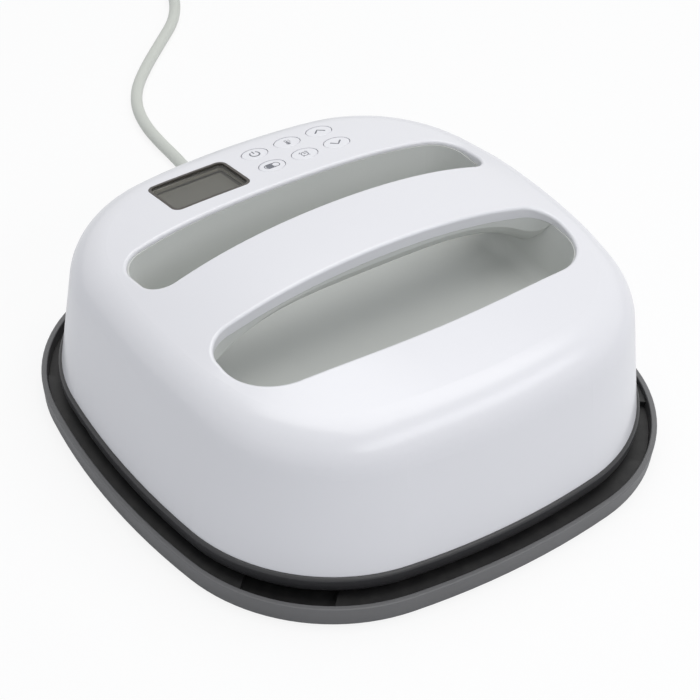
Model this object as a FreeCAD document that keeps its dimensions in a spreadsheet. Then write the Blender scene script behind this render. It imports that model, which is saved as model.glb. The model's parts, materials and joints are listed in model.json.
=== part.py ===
"""Handheld heat press on its safety base, with its mains cord.  Millimetres, +Z up, +Y to the back.

The origin is on the table, at the centre of the safety base.  The press lifts off the base; the six keys
travel into the top shell.
"""

import FreeCAD, Part
import math
import os

import Sketcher
from FreeCAD import Placement, Rotation, Vector

# Driving sizes.  Each name is an alias in the document's spreadsheet.
SIZES = (
    # Safety base
    ("tray_half_x", 150.0, "half width of the base at its rim"),
    ("tray_half_y", 154.2, "half depth of the base at its rim"),
    ("tray_corner", 97.4, "corner radius of the rim"),
    ("tray_side_x", 400.0, "radius of the bowed left and right sides"),
    ("tray_side_y", 424.0, "radius of the bowed front and back sides"),
    ("tray_rim_z", 12.7, "height of the rim"),
    ("tray_under_z", 1.0, "height of the underside above the table"),
    ("tray_flare", 1.1, "how far the wall leans out from bottom to rim"),
    ("tray_wall", 3.2, "width of the rim"),
    ("tray_floor", 2.2, "thickness of the base's floor"),
    ("tray_foot_round", 1.3, "rounding of the base's lower edge"),
    ("tray_rim_round", 0.8, "rounding of the rim's edges"),
    ("foot_radius", 9.0, "rubber foot"),
    ("foot_depth", 1.2, "how deep a foot sits in its recess"),
    ("foot_reach", 88.0, "feet from the axes"),
    ("liner_gap", 0.25, "clearance between liner and base wall"),
    ("liner_ledge_z", 9.8, "top of the liner's ledge"),
    ("liner_recess_z", 6.4, "floor of the liner's corner recesses"),
    ("liner_skin", 2.2, "thickness of the liner"),
    ("recess_width", 48.0, "corner recess, across the diagonal"),
    ("recess_start", 144.0, "inner edge of a recess, along the diagonal"),
    ("well_gap", 6.0, "gap between heat plate and the liner's well"),
    ("rest_length", 46.0, "rest pad under the press, along its side"),
    ("rest_width", 6.0, "rest pad, across"),
    ("rest_inset", 14.0, "rest pad centre, in from the press's edge"),
    ("mat_thick", 3.0, "heat proof mat in the well"),
    ("hollow_length", 110.0, "hollow under the liner's ledge"),
    ("hollow_width", 14.0, "and its width"),
    ("hollow_x", 132.5, "middle of the hollows at the left and right"),
    ("hollow_y", 136.0, "middle of the hollows at the front and back"),
    # Outline of the press at the shell's lower edge
    ("press_half_x", 139.2, "half width of the press"),
    ("press_half_y", 142.2, "half depth of the press"),
    ("press_corner", 91.3, "corner radius of the press"),
    ("press_side_x", 444.0, "radius of its bowed left and right sides"),
    ("press_side_y", 390.0, "radius of its bowed front and back sides"),
    # Top shell
    ("shell_low_z", 22.75, "height of the shell's lower edge"),
    ("crown_z", 111.3, "height of the dome's crown"),
    ("crown_y", -11.8, "the crown lies this far from the centre"),
    ("crown_fall_y", 0.745e-3, "fall of the dome per square mm, front to back"),
    ("crown_fall_x", 0.045e-3, "fall of the dome per square mm, left to right"),
    ("crown_fall_x4", 0.49e-7, "fall of the dome per fourth power, left to right"),
    ("shell_draft", 7.1, "draft of the side walls in degrees"),
    ("shoulder", 26.8, "radius between side walls and dome"),
    ("shell_skin", 2.5, "wall of the top shell"),
    ("lip_round", 1.6, "rounding of the finger openings' edges"),
    # Handle and finger openings
    ("handle_rise", 12.5, "rise of the handle over the dome"),
    ("handle_reach", 126.0, "half length over which the handle rises"),
    ("handle_front_y", -24.6, "front edge of the handle"),
    ("handle_rear_y", 20.9, "rear edge of the handle"),
    ("lip_deep", 4.6, "how much deeper the shell's lip is along the handle"),
    ("lip_reach", 116.0, "half length over which it is that deep"),
    ("opening_reach", 106.0, "half length of both finger openings"),
    ("rear_edge_y", 67.0, "far edge of the rear opening"),
    ("rear_bow", 720.0, "radius of that edge"),
    ("rear_inner_round", 13.0, "its corners at the handle"),
    ("rear_outer_round", 17.0, "its far corners"),
    ("front_edge_y", -76.9, "far edge of the front opening"),
    ("front_bow", 685.0, "radius of that edge"),
    ("front_inner_round", 14.0, "its corners at the handle"),
    ("front_outer_round", 30.0, "its far corners"),
    ("tub_floor_z", 66.0, "floor of the finger tub"),
    ("tub_draft", 8.5, "draft of the tub's walls in degrees"),
    ("tub_skin", 2.2, "wall of the tub"),
    ("tub_floor_round", 9.0, "rounding between the tub's walls and floor"),
    ("tub_flange", 0.8, "flange of the tub under the shell"),
    ("under_mid_z", 98.0, "underside of the handle at mid span"),
    ("under_end_z", 74.0, "underside of the handle at its ends"),
    ("under_mid_sag", 15.5, "depth of its round underside at mid span"),
    ("under_end_sag", 11.0, "depth of its round underside at its ends"),
    ("handle_skin", 2.4, "wall of the handle"),
    ("handle_end", 7.0, "solid end of the handle, for its screws"),
    ("handle_screw_z", 90.0, "screws between tub and handle"),
    ("handle_screw_y", 10.0, "and their distance from the handle's middle"),
    ("tub_screw_long", 9.0, "shanks of the screws in tub and handle"),
    ("ear_x", 113.0, "ears that hold the tub under the shell"),
    ("ear_y", 29.0, "and their distance from the handle's middle"),
    ("ear_z", 88.0, "top of an ear"),
    ("ear_radius", 3.8, "width of an ear, halved, and of the shell's boss over it"),
    ("fit_gap", 0.15, "seam between mating mouldings"),
    # Lower housing
    ("housing_low_z", 11.6, "underside of the lower housing"),
    ("housing_bead", 1.8, "how far the housing's bead stands out past the shell"),
    ("bead_round", 1.7, "rounding over the bead"),
    ("housing_inner", 3.8, "inner face of the housing's wall, in from the press's outline"),
    ("housing_round", 6.4, "rounding of the housing's lower edge"),
    ("housing_skin", 2.6, "wall of the lower housing"),
    ("housing_spigot", 4.0, "how far its spigot reaches into the shell"),
    ("boss_radius", 5.2, "screw boss of the lower housing"),
    ("shell_boss_radius", 4.2, "screw boss of the top shell"),
    ("side_boss_x", 127.0, "bosses at the left and right"),
    ("side_boss_y", 45.0, "and their distance from the X axis"),
    ("end_boss_y", 128.5, "bosses at the front and back"),
    ("end_boss_x", 50.0, "and their distance from the Y axis"),
    # Heat plate and what lies on it
    ("plate_half", 114.3, "half of the plate's nine inches"),
    ("plate_corner", 66.0, "corner radius of the plate"),
    ("plate_side", 420.0, "radius of the plate's bowed sides"),
    ("plate_low_z", 10.0, "working face of the plate"),
    ("plate_thick", 8.0, "thickness of the plate"),
    ("plate_round", 2.0, "rounding of the working face's edge"),
    ("plate_gap", 2.7, "gap between plate and housing"),
    ("heater_radius", 3.2, "sheath of the tubular heater"),
    ("heater_cover", 3.6, "depth of its centre below the plate's top"),
    ("heater_run", 70.0, "half length of the heater's runs"),
    ("heater_pitch", 40.0, "distance between the runs"),
    ("heater_rise", 8.0, "bend where the heater's ends turn up"),
    ("heater_top_z", 37.0, "end of the sheath"),
    ("bush_radius", 4.6, "ceramic bush on the sheath's end"),
    ("bush_height", 6.0, "and its height"),
    ("shield_z", 30.0, "underside of the heat shield"),
    ("shield_thick", 1.0, "steel of the heat shield"),
    ("shield_inset", 7.0, "edge of the shield, in from the press's edge"),
    ("wool_inset", 3.0, "edge of the insulation, in from the plate's edge"),
    ("wool_gap", 0.4, "insulation below the shield"),
    ("standoff_radius", 3.6, "standoff between plate and shield"),
    ("standoff_x", 102.0, "side standoffs"),
    ("standoff_y", 45.0, "and their distance from the X axis"),
    ("standoff_end_y", 102.0, "standoffs at the front and back"),
    ("stud_radius", 1.9, "threaded end of a standoff in the plate"),
    ("stud_depth", 5.0, "and its depth"),
    ("plate_screw_long", 7.0, "shank of the screws above the plate"),
    ("clip_thick", 0.8, "foot of the fuse's clip"),
    ("probe_high", 4.4, "temperature probe"),
    ("probe_x", 14.0, "temperature probe"),
    ("probe_screw_y", -20.0, "its screw"),
    ("fuse_x", -10.0, "thermal fuse"),
    ("fuse_radius", 2.0, "thermal fuse"),
    ("fuse_length", 14.0, "thermal fuse"),
    ("fuse_screw_y", -25.0, "screw of its clip"),
    ("pocket_x", 12.0, "pocket in the insulation over probe and fuse"),
    ("pocket_y", -20.0, "pocket, front to back"),
    ("pocket_wide", 66.0, "pocket"),
    ("pocket_deep", 20.0, "pocket, front to back"),
    ("lead_hole_x", 36.0, "hole in the shield for the probe's lead"),
    # Screws
    ("screw_bite", 12.0, "housing screw's reach into the shell's boss"),
    ("screw_radius", 1.6, "shank of a housing screw"),
    ("screw_head", 3.2, "head radius of a housing screw"),
    ("screw_head_high", 2.2, "head height"),
    ("small_screw", 1.2, "shank of a board screw"),
    ("small_head", 2.2, "head radius of a board screw"),
    ("small_head_high", 1.5, "head height"),
    ("screw_gap", 0.3, "clearance round a screw that passes through"),
    ("thread_gap", 0.05, "clearance of a screw in its boss"),
    # Control panel
    ("panel_y", 93.0, "middle of the display and the keys"),
    ("window_x", -35.6, "middle of the display"),
    ("window_wide", 48.7, "display opening"),
    ("window_deep", 32.5, "display opening, front to back"),
    ("window_round", 4.9, "its corners"),
    ("bezel_wide", 1.5, "dark frame round the window"),
    ("bezel_flange", 2.2, "its flange under the shell"),
    ("window_drop", 0.9, "window below the shell's surface"),
    ("window_thick", 1.5, "smoked window"),
    ("lcd_wide", 41.5, "display glass"),
    ("lcd_deep", 25.5, "display glass, front to back"),
    ("lcd_thick", 2.2, "display glass"),
    ("lcd_depth", 5.2, "display glass below the shell's surface"),
    ("key_first_x", 6.4, "first column of keys"),
    ("key_pitch_x", 21.2, "columns of keys"),
    ("key_rear_y", 103.4, "rear row of keys"),
    ("key_front_y", 85.8, "front row of keys"),
    ("key_half_wide", 7.7, "half width of a key"),
    ("key_half_deep", 5.9, "half depth of a key"),
    ("key_gap", 0.35, "groove round a key"),
    ("key_flange", 1.1, "collar of a key under the shell"),
    ("key_collar_gap", 0.4, "collar below the shell's wall"),
    ("key_collar_thick", 1.4, "and its thickness"),
    ("key_depth", 6.4, "end of a key's stem, below the surface"),
    ("key_edge", 0.5, "rounding of a key's edge"),
    ("key_travel", 0.5, "travel of a key"),
    ("key_stem", 2.4, "stem of a key"),
    ("board_depth", 12.0, "control board below the shell's surface"),
    ("board_thick", 1.6, "circuit boards"),
    ("board_wide", 141.0, "control board"),
    ("board_hole_x", 66.5, "its screws, from its middle"),
    ("board_hole_y", 15.5, "its screws, from its middle"),
    ("board_deep", 40.0, "control board, front to back"),
    ("switch_size", 6.0, "tact switch"),
    ("switch_high", 3.5, "tact switch, without its plunger"),
    ("switch_slack", 0.1, "left between key and plunger at full travel"),
    # Power board
    ("power_x", -37.0, "middle of the power board"),
    ("power_y", 91.0, "middle of the power board"),
    ("power_wide", 110.0, "power board"),
    ("power_deep", 46.0, "power board, front to back"),
    ("power_z", 45.0, "underside of the power board"),
    ("power_margin", 5.0, "its posts, in from its edges"),
    ("post_radius", 3.0, "post under the power board"),
    ("sink_web", 2.0, "heat sink"),
    ("sink_fin", 1.4, "fin of the heat sink"),
    ("sink_high", 22.0, "heat sink"),
    ("buzzer_x", 20.0, "buzzer under the control board"),
    ("buzzer_radius", 6.0, "buzzer"),
    ("buzzer_high", 5.0, "buzzer"),
    ("ribbon_top_z", 87.0, "end of the ribbon cable"),
    ("clamp_y", 120.0, "cord clamp"),
    ("clamp_pitch", 17.0, "distance between its screws"),
    # Cord
    ("cord_radius", 3.75, "mains cord"),
    ("cord_x", 34.0, "cord exit"),
    ("cord_z", 36.0, "cord exit, height"),
    ("boot_tip_y", 161.0, "outer end of the strain relief"),
    ("boot_tip_radius", 5.2, "strain relief at its tip"),
    ("boot_root_radius", 7.0, "strain relief at the shell"),
    ("boot_ribs", 5, "ribs of the strain relief"),
    ("boot_groove", 1.6, "groove between two ribs"),
    ("boot_flange", 8.2, "its flange inside the shell"),
    ("coil_x", 188.0, "middle of the stored coil"),
    ("coil_y", 468.0, "middle of the stored coil"),
    ("coil_lift", 1.3, "coil above the table, for its tie"),
    ("coil_mean", 41.0, "mean radius of the coil's turns"),
    ("coil_columns", 2, "turns side by side"),
    ("coil_layers", 3, "turns on top of each other"),
    ("coil_slack", 0.3, "coil's solid round its turns"),
    ("tail_length", 38.0, "cord between coil and plug"),
    ("plug_lift", 0.1, "plug above the table"),
    ("tie_angle", -60.0, "tie, round the coil from its left"),
    ("tie_wide", 12.0, "tie round the coil"),
    ("tie_thick", 0.9, "and its thickness"),
    ("tie_gap", 0.7, "and its clearance beside the turns"),
    ("plug_radius", 18.0, "head of the plug"),
    ("plug_head", 16.0, "length of its head"),
    ("plug_length", 50.0, "length of its body"),
    ("pin_radius", 2.4, "pin of the plug"),
    ("pin_length", 19.0, "pin of the plug"),
    ("pin_root", 6.0, "pin inside the plug"),
    ("plug_stem", 5.2, "radius of the plug's stem at the cord"),
    ("pin_half_pitch", 9.5, "half the distance between the pins"),
)

# The cord's route over the table, chosen by hand; it starts at the strain relief's tip.
CORD_ROUTE = (
    (34.0, 161.0, 36.0),
    (34.0, 173.8, 36.0),
    (34.1, 186.2, 32.2),
    (34.4, 196.9, 25.0),
    (34.9, 205.1, 14.9),
    (35.9, 215.8, 7.6),
    (37.4, 228.2, 3.85),
    (38.5, 243.5, 3.85),
    (38.6, 262.0, 3.85),
    (40.3, 283.0, 3.85),
    (46.3, 304.3, 3.85),
    (57.5, 323.0, 3.85),
    (75.0, 341.0, 3.85),
    (99.0, 362.0, 3.85),
    (122.0, 382.0, 3.85),
    (137.5, 408.0, 4.2),
    (143.25, 438.0, 5.05),
    (143.25, 462.0, 5.05),
)

doc = FreeCAD.newDocument("heat_press")
sheet = doc.addObject("Spreadsheet::Sheet", "sizes")
for row, (alias, value, note) in enumerate(SIZES, 1):
    sheet.set(f"A{row}", alias)
    sheet.set(f"B{row}", str(value))
    sheet.setAlias(f"B{row}", alias)
    sheet.set(f"C{row}", note)
doc.recompute()
nodes = []


def size(alias):
    """The sheet's value of one size."""
    return float(sheet.get(alias))


# %% Helpers for objects of the document
def bind(thing, **expressions):
    """Bind properties to the sheet; a double underscore stands for the dot in a property's path."""
    for path, text in expressions.items():
        thing.setExpression(path.replace("__", "."), text)
    return thing


def at(thing, x="0", y="0", z="0"):
    """Place an object by three expressions."""
    return bind(thing, Placement__Base__x=x, Placement__Base__y=y, Placement__Base__z=z)


def node(label, thing):
    """Name a finished sub-part; its label names its file."""
    thing.Label = label
    nodes.append(thing)
    return thing


def block(x, y, z, wide, deep, tall):
    """A box by expressions: the middle of its base, and its three sizes."""
    box = doc.addObject("Part::Box", "Block")
    bind(box, Length=wide, Width=deep, Height=tall)
    return at(box, f"{x} - ({wide}) / 2", f"{y} - ({deep}) / 2", z)


def rod(x, y, z, radius, tall):
    """An upright cylinder by expressions: the middle of its base, radius and height."""
    cylinder = doc.addObject("Part::Cylinder", "Rod")
    bind(cylinder, Radius=radius, Height=tall)
    return at(cylinder, x, y, z)


def fuse(*things):
    joined = doc.addObject("Part::MultiFuse", "Fusion")
    joined.Shapes = list(things)
    return joined


def group(*things):
    """Separate solids that share one node."""
    gathered = doc.addObject("Part::Compound", "Group")
    gathered.Links = list(things)
    return gathered


def cut(base, *tools):
    less = doc.addObject("Part::Cut", "Cut")
    less.Base = base
    less.Tool = tools[0] if len(tools) == 1 else fuse(*tools)
    return less


def overlap(base, tool):
    both = doc.addObject("Part::Common", "Common")
    both.Base = base
    both.Tool = tool
    return both


def computed(name, shape):
    """A shape that is worked out by formula."""
    feature = doc.addObject("Part::Feature", name)
    feature.Shape = shape
    return feature


def rounded(base, radius, wanted):
    """Fillet the edges of a base object for which wanted(edge) is true."""
    doc.recompute()
    feature = doc.addObject("Part::Fillet", "Rounding")
    feature.Base = base
    feature.Edges = [
        (number, radius, radius)
        for number, edge in enumerate(base.Shape.Edges, 1)
        if wanted(edge)
    ]
    return feature


def level(edge, z, slack=0.01):
    """True for an edge that lies at one height."""
    box = edge.BoundBox
    return abs(box.ZMin - z) < slack and abs(box.ZMax - z) < slack


# %% The rounded square that the base, the press and the plate share
def family(name):
    """Half sizes, corner radius and side radii of one of the three outlines."""
    if name == "plate":
        half, side = size("plate_half"), size("plate_side")
        return half, half, size("plate_corner"), side, side
    return tuple(size(f"{name}_{part}") for part in ("half_x", "half_y", "corner", "side_x", "side_y"))


def family_words(name):
    """The same five sizes as expressions."""
    if name == "plate":
        half, side = "sizes.plate_half", "sizes.plate_side"
        return half, half, "sizes.plate_corner", side, side
    return tuple(f"sizes.{name}_{part}" for part in ("half_x", "half_y", "corner", "side_x", "side_y"))


def outline_arcs(name, inset=0.0):
    """Centre, radius and two angles of the eight tangent arcs of an outline, counter-clockwise."""
    half_x, half_y, corner, side_x, side_y = family(name)
    back_x = side_x - half_x
    back_y = side_y - half_y
    base = math.hypot(back_x, back_y)
    reach_x = side_x - corner
    reach_y = side_y - corner
    along = (reach_x**2 - reach_y**2 + base**2) / (2 * base)
    aside = math.sqrt(reach_x**2 - along**2)
    corner_x = -back_x + (along * back_x + aside * back_y) / base
    corner_y = (aside * back_x - along * back_y) / base
    low = math.atan2(corner_y, corner_x + back_x)
    high = math.atan2(corner_y + back_y, corner_x)
    turn = math.pi
    arcs = (
        (-back_x, 0, side_x, -low, low),
        (corner_x, corner_y, corner, low, high),
        (0, -back_y, side_y, high, turn - high),
        (-corner_x, corner_y, corner, turn - high, turn - low),
        (back_x, 0, side_x, turn - low, turn + low),
        (-corner_x, -corner_y, corner, turn + low, turn + high),
        (0, back_y, side_y, turn + high, 2 * turn - high),
        (corner_x, -corner_y, corner, 2 * turn - high, 2 * turn - low),
    )
    return [(x, y, radius - inset, start, end) for x, y, radius, start, end in arcs]


def outline_sketch(body, name, inset, z):
    """A constrained sketch of an outline on the body's XY plane, raised to a height."""
    sketch = body.newObject("Sketcher::SketchObject", "Outline")
    plane = [f for f in body.Origin.OriginFeatures if f.Role == "XY_Plane"][0]
    sketch.AttachmentSupport = (plane, [""])
    sketch.MapMode = "FlatFace"
    sketch.setExpression("AttachmentOffset.Base.z", z)
    for x, y, radius, start, end in outline_arcs(name, size_of(inset)):
        circle = Part.Circle(Vector(x, y, 0), Vector(0, 0, 1), radius)
        sketch.addGeometry(Part.ArcOfCircle(circle, start, end), False)
    for arc in range(8):
        sketch.addConstraint(Sketcher.Constraint("Tangent", arc, 2, (arc + 1) % 8, 1))
    for arc, axis in ((0, -1), (4, -1), (2, -2), (6, -2)):
        sketch.addConstraint(Sketcher.Constraint("PointOnObject", arc, 3, axis))
    for arc, twin in ((0, 4), (2, 6), (1, 3), (1, 5), (1, 7)):
        sketch.addConstraint(Sketcher.Constraint("Equal", arc, twin))
    half_x, half_y, corner, side_x, side_y = family_words(name)
    arcs = outline_arcs(name, size_of(inset))
    bound = (
        ("Radius", (0,), arcs[0][2], f"{side_x} - ({inset})"),
        ("Radius", (2,), arcs[2][2], f"{side_y} - ({inset})"),
        ("Radius", (1,), arcs[1][2], f"{corner} - ({inset})"),
        ("DistanceX", (0, 3, -1, 1), -arcs[0][0], f"{side_x} - {half_x}"),
        ("DistanceX", (-1, 1, 4, 3), arcs[4][0], f"{side_x} - {half_x}"),
        ("DistanceY", (2, 3, -1, 1), -arcs[2][1], f"{side_y} - {half_y}"),
        ("DistanceY", (-1, 1, 6, 3), arcs[6][1], f"{side_y} - {half_y}"),
    )
    for kind, where, value, text in bound:
        index = sketch.addConstraint(Sketcher.Constraint(kind, *where, value))
        sketch.setExpression(f"Constraints[{index}]", text)
    return sketch


def size_of(expression):
    """The value of an expression of the sheet."""
    return float(sheet.evalExpression(expression))


def outline_pad(name, inset, z, tall, taper=None):
    """A body with an outline padded upwards."""
    body = doc.addObject("PartDesign::Body", "Plate")
    sketch = outline_sketch(body, name, inset, z)
    pad = body.newObject("PartDesign::Pad", "Pad")
    pad.Profile = sketch
    pad.setExpression("Length", tall)
    if taper:
        pad.setExpression("TaperAngle", taper)
    sketch.Visibility = False
    return body


# %% Surfaces that follow a formula
def beside_handle(y):
    """One over the handle's width, fading to nothing in front of it and behind it."""
    middle = (size("handle_front_y") + size("handle_rear_y")) / 2
    width = size("handle_rear_y") - size("handle_front_y")
    return math.exp(-(((y - middle) / width) ** 6))


def handle_swell(x, y):
    """Share of the handle's rise at a point: a hump along X that fades out beside the handle."""
    along = min(1.0, abs(x) / size("handle_reach"))
    return beside_handle(y) * (1 - along**2) ** 1.5


def dome(x, y):
    """Height of the dome without the handle."""
    fall = size("crown_fall_x") * x**2 + size("crown_fall_x4") * x**4
    return size("crown_z") - fall - size("crown_fall_y") * (y - size("crown_y")) ** 2


def shell_top(x, y):
    """Outer surface of the top shell."""
    return dome(x, y) + size("handle_rise") * handle_swell(x, y)


def lip_low(x, y):
    """Lower lip of the top shell, under which the tub and the handle's underside are held."""
    along = min(1.0, abs(x) / size("lip_reach"))
    deeper = size("lip_deep") * beside_handle(y) * (1 - along**12)
    return shell_top(x, y) - size("shell_skin") - deeper


def lip_seat(x, y):
    """Seat of the pieces that are held up against the lower lip."""
    return lip_low(x, y) - size("fit_gap")


def handle_under(x, y):
    """Underside of the handle: a round keel that drops towards its ends."""
    middle = (size("handle_front_y") + size("handle_rear_y")) / 2
    half = (size("handle_rear_y") - size("handle_front_y")) / 2
    along = abs(x) / size("opening_reach")
    keel = size("under_mid_z") - (size("under_mid_z") - size("under_end_z")) * along**4
    sag = size("under_mid_sag") + (size("under_end_sag") - size("under_mid_sag")) * along**2
    return keel + sag * (abs(y - middle) / half) ** 2.6


def slab(height, reach_x, low_y, high_y, drop, step=6.0):
    """A solid that reaches from the surface z = height(x, y) down by drop, or up where drop is negative."""
    across = max(4, round(2 * reach_x / step))
    deep = max(4, round((high_y - low_y) / step))
    grid = []
    for i in range(across + 1):
        x = -reach_x + 2 * reach_x * i / across
        column = [low_y + (high_y - low_y) * j / deep for j in range(deep + 1)]
        grid.append([Vector(x, y, height(x, y)) for y in column])
    surface = Part.BSplineSurface()
    surface.interpolate(grid)
    return surface.toShape().extrude(Vector(0, 0, -drop))


def press_slab(height, drop=None):
    """A slab over the whole press."""
    reach = size("press_half_y") + 6
    whole = size("crown_z") + size("handle_rise")
    return slab(height, size("press_half_x") + 6, -reach, reach, drop or whole)


# %% Outlines of the finger openings
def bowed_end(reach, flat_y, edge_y, bow, flat_round, bow_round, z):
    """Wire of an opening: a straight edge at flat_y, a bowed far edge at edge_y, and rounded ends."""
    side = 1 if edge_y > flat_y else -1
    arc_y = edge_y - side * bow
    corner_x = reach - bow_round
    corner_y = arc_y + side * math.sqrt((bow - bow_round) ** 2 - corner_x**2)
    touch_x = corner_x * bow / (bow - bow_round)
    touch_y = arc_y + (corner_y - arc_y) * bow / (bow - bow_round)
    flat_x = reach - flat_round
    half = math.sqrt(0.5)
    flat_mid_x = flat_x + flat_round * half
    flat_mid_y = flat_y + side * flat_round * (1 - half)
    lean = math.atan2(side * (corner_y - arc_y), corner_x) / 2
    bow_mid_x = corner_x + bow_round * math.cos(lean)
    bow_mid_y = corner_y + side * bow_round * math.sin(lean)

    def spot(x, y):
        return Vector(x, y, z)

    flat_side_y = flat_y + side * flat_round
    edges = [
        Part.LineSegment(spot(-flat_x, flat_y), spot(flat_x, flat_y)),
        Part.Arc(spot(flat_x, flat_y), spot(flat_mid_x, flat_mid_y), spot(reach, flat_side_y)),
        Part.LineSegment(spot(reach, flat_side_y), spot(reach, corner_y)),
        Part.Arc(spot(reach, corner_y), spot(bow_mid_x, bow_mid_y), spot(touch_x, touch_y)),
        Part.Arc(spot(touch_x, touch_y), spot(0, edge_y), spot(-touch_x, touch_y)),
        Part.Arc(spot(-touch_x, touch_y), spot(-bow_mid_x, bow_mid_y), spot(-reach, corner_y)),
        Part.LineSegment(spot(-reach, corner_y), spot(-reach, flat_side_y)),
        Part.Arc(spot(-reach, flat_side_y), spot(-flat_mid_x, flat_mid_y), spot(-flat_x, flat_y)),
    ]
    return Part.Wire([edge.toShape() for edge in edges])


def opening_wire(which, z, inset=0.0):
    """The rear or the front finger opening."""
    reach = size("opening_reach") - inset
    side = 1 if which == "rear" else -1
    return bowed_end(
        reach,
        size(f"handle_{which}_y") + side * inset,
        size(f"{which}_edge_y") - side * inset,
        size(f"{which}_bow") - inset,
        size(f"{which}_inner_round") - inset,
        size(f"{which}_outer_round") - inset,
        z,
    )


def tub_wire(z, inset=0.0):
    """Both openings and the handle between them, as one outline."""
    reach = size("opening_reach") - inset
    rows = []
    for which, side in (("rear", 1), ("front", -1)):
        bow = size(f"{which}_bow") - inset
        bend = size(f"{which}_outer_round") - inset
        edge = size(f"{which}_edge_y") - side * inset
        arc_y = edge - side * bow
        corner_x = reach - bend
        corner_y = arc_y + side * math.sqrt((bow - bend) ** 2 - corner_x**2)
        lean = math.atan2(side * (corner_y - arc_y), corner_x)
        touch = (corner_x + bend * math.cos(lean), corner_y + side * bend * math.sin(lean))
        middle = (corner_x + bend * math.cos(lean / 2), corner_y + side * bend * math.sin(lean / 2))
        rows.append((edge, corner_y, touch, middle))
    (rear_edge, rear_y, rear_touch, rear_middle), (front_edge, front_y, front_touch, front_middle) = rows

    def spot(x, y):
        return Vector(x, y, z)

    back = [rear_touch, rear_middle, front_middle, front_touch]
    right_rear, right_rear_mid, right_front_mid, right_front = [spot(*place) for place in back]
    left_rear, left_rear_mid, left_front_mid, left_front = [spot(-place[0], place[1]) for place in back]
    edges = [
        Part.LineSegment(spot(reach, front_y), spot(reach, rear_y)),
        Part.Arc(spot(reach, rear_y), right_rear_mid, right_rear),
        Part.Arc(right_rear, spot(0, rear_edge), left_rear),
        Part.Arc(left_rear, left_rear_mid, spot(-reach, rear_y)),
        Part.LineSegment(spot(-reach, rear_y), spot(-reach, front_y)),
        Part.Arc(spot(-reach, front_y), left_front_mid, left_front),
        Part.Arc(left_front, spot(0, front_edge), right_front),
        Part.Arc(right_front, right_front_mid, spot(reach, front_y)),
    ]
    return Part.Wire([edge.toShape() for edge in edges])


def tub_bowl(skin, floor_z):
    """The tub's inside, or its outside where skin is its wall: drafted walls and a rounded floor."""
    slope = math.tan(math.radians(size("tub_draft")))
    top_z = size("crown_z") + size("handle_rise")
    meet_z = size("crown_z") - 2 * size("shell_skin")
    low = tub_wire(floor_z, (meet_z - floor_z) * slope - skin)
    high = tub_wire(top_z, (meet_z - top_z) * slope - skin)
    bowl = Part.makeLoft([low, high], True, True)
    floor_edges = [edge for edge in bowl.Edges if level(edge, floor_z)]
    return bowl.makeFillet(size("tub_floor_round") + skin, floor_edges)


def prism(wire, tall):
    return Part.Face(wire).extrude(Vector(0, 0, tall))


def on_surface(x, y):
    """Placement on the top shell at a point, its Z axis along the surface's normal."""
    step = 0.5
    slope_x = (shell_top(x + step, y) - shell_top(x - step, y)) / (2 * step)
    slope_y = (shell_top(x, y + step) - shell_top(x, y - step)) / (2 * step)
    normal = Vector(-slope_x, -slope_y, 1)
    return Placement(Vector(x, y, shell_top(x, y)), Rotation(Vector(0, 0, 1), normal))


# %% Tubes: straight runs joined by tangent arcs
def tube_path(points, bends):
    """A wire through points whose corner radii are given."""
    spots = [Vector(*point) for point in points]
    edges = []
    last = spots[0]
    for before, corner, after, radius in zip(spots, spots[1:], spots[2:], bends):
        come = (corner - before).normalize()
        leave = (after - corner).normalize()
        turn = come.getAngle(leave)
        trim = radius * math.tan(turn / 2)
        start = corner - come * trim
        end = corner + leave * trim
        inward = (leave - come).normalize()
        middle = corner + inward * (radius / math.cos(turn / 2) - radius)
        edges.append(Part.LineSegment(last, start).toShape())
        edges.append(Part.Arc(start, middle, end).toShape())
        last = end
    edges.append(Part.LineSegment(last, spots[-1]).toShape())
    return Part.Wire(edges)


def tube(points, radius, bends):
    """A round tube along such a path."""
    path = tube_path(points, bends)
    first = Vector(*points[0])
    along = Vector(*points[1]) - first
    ring = Part.Wire([Part.Circle(first, along, radius).toShape()])
    return path.makePipeShell([ring], True, False)


def lead(points, radius, bend):
    """A wire with one bend radius, as a computed object."""
    return computed("Lead", tube(points, radius, [bend] * (len(points) - 2)))


def free_bends(points):
    """Corner radii of a free cord: 0.45 of the shorter run over the tangent of half the turn."""
    spots = [Vector(*point) for point in points]
    radii = []
    for before, corner, after in zip(spots, spots[1:], spots[2:]):
        come = corner - before
        leave = after - corner
        half_turn = come.getAngle(leave) / 2
        radii.append(0.45 * min(come.Length, leave.Length) / math.tan(half_turn))
    return radii


# %% Screws
def screw(x, y, seat, long, point_up=True, small=False):
    """A pan head screw by expressions; seat is the height of the face under its head."""
    if small:
        shank, head, high = "sizes.small_screw", "sizes.small_head", "sizes.small_head_high"
    else:
        shank, head, high = "sizes.screw_radius", "sizes.screw_head", "sizes.screw_head_high"
    if point_up:
        return fuse(rod(x, y, seat, shank, long), rod(x, y, f"{seat} - {high}", head, high))
    return fuse(rod(x, y, f"{seat} - ({long})", shank, long), rod(x, y, seat, head, high))


def corners(x, y):
    """The four mirrored places of one pair of expressions."""
    return [(f"{sx}({x})", f"{sy}({y})") for sx in ("", "-") for sy in ("", "-")]


def housing_places():
    """The eight screws that join housing, shield and shell."""
    return corners("sizes.side_boss_x", "sizes.side_boss_y") + corners("sizes.end_boss_x", "sizes.end_boss_y")


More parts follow.
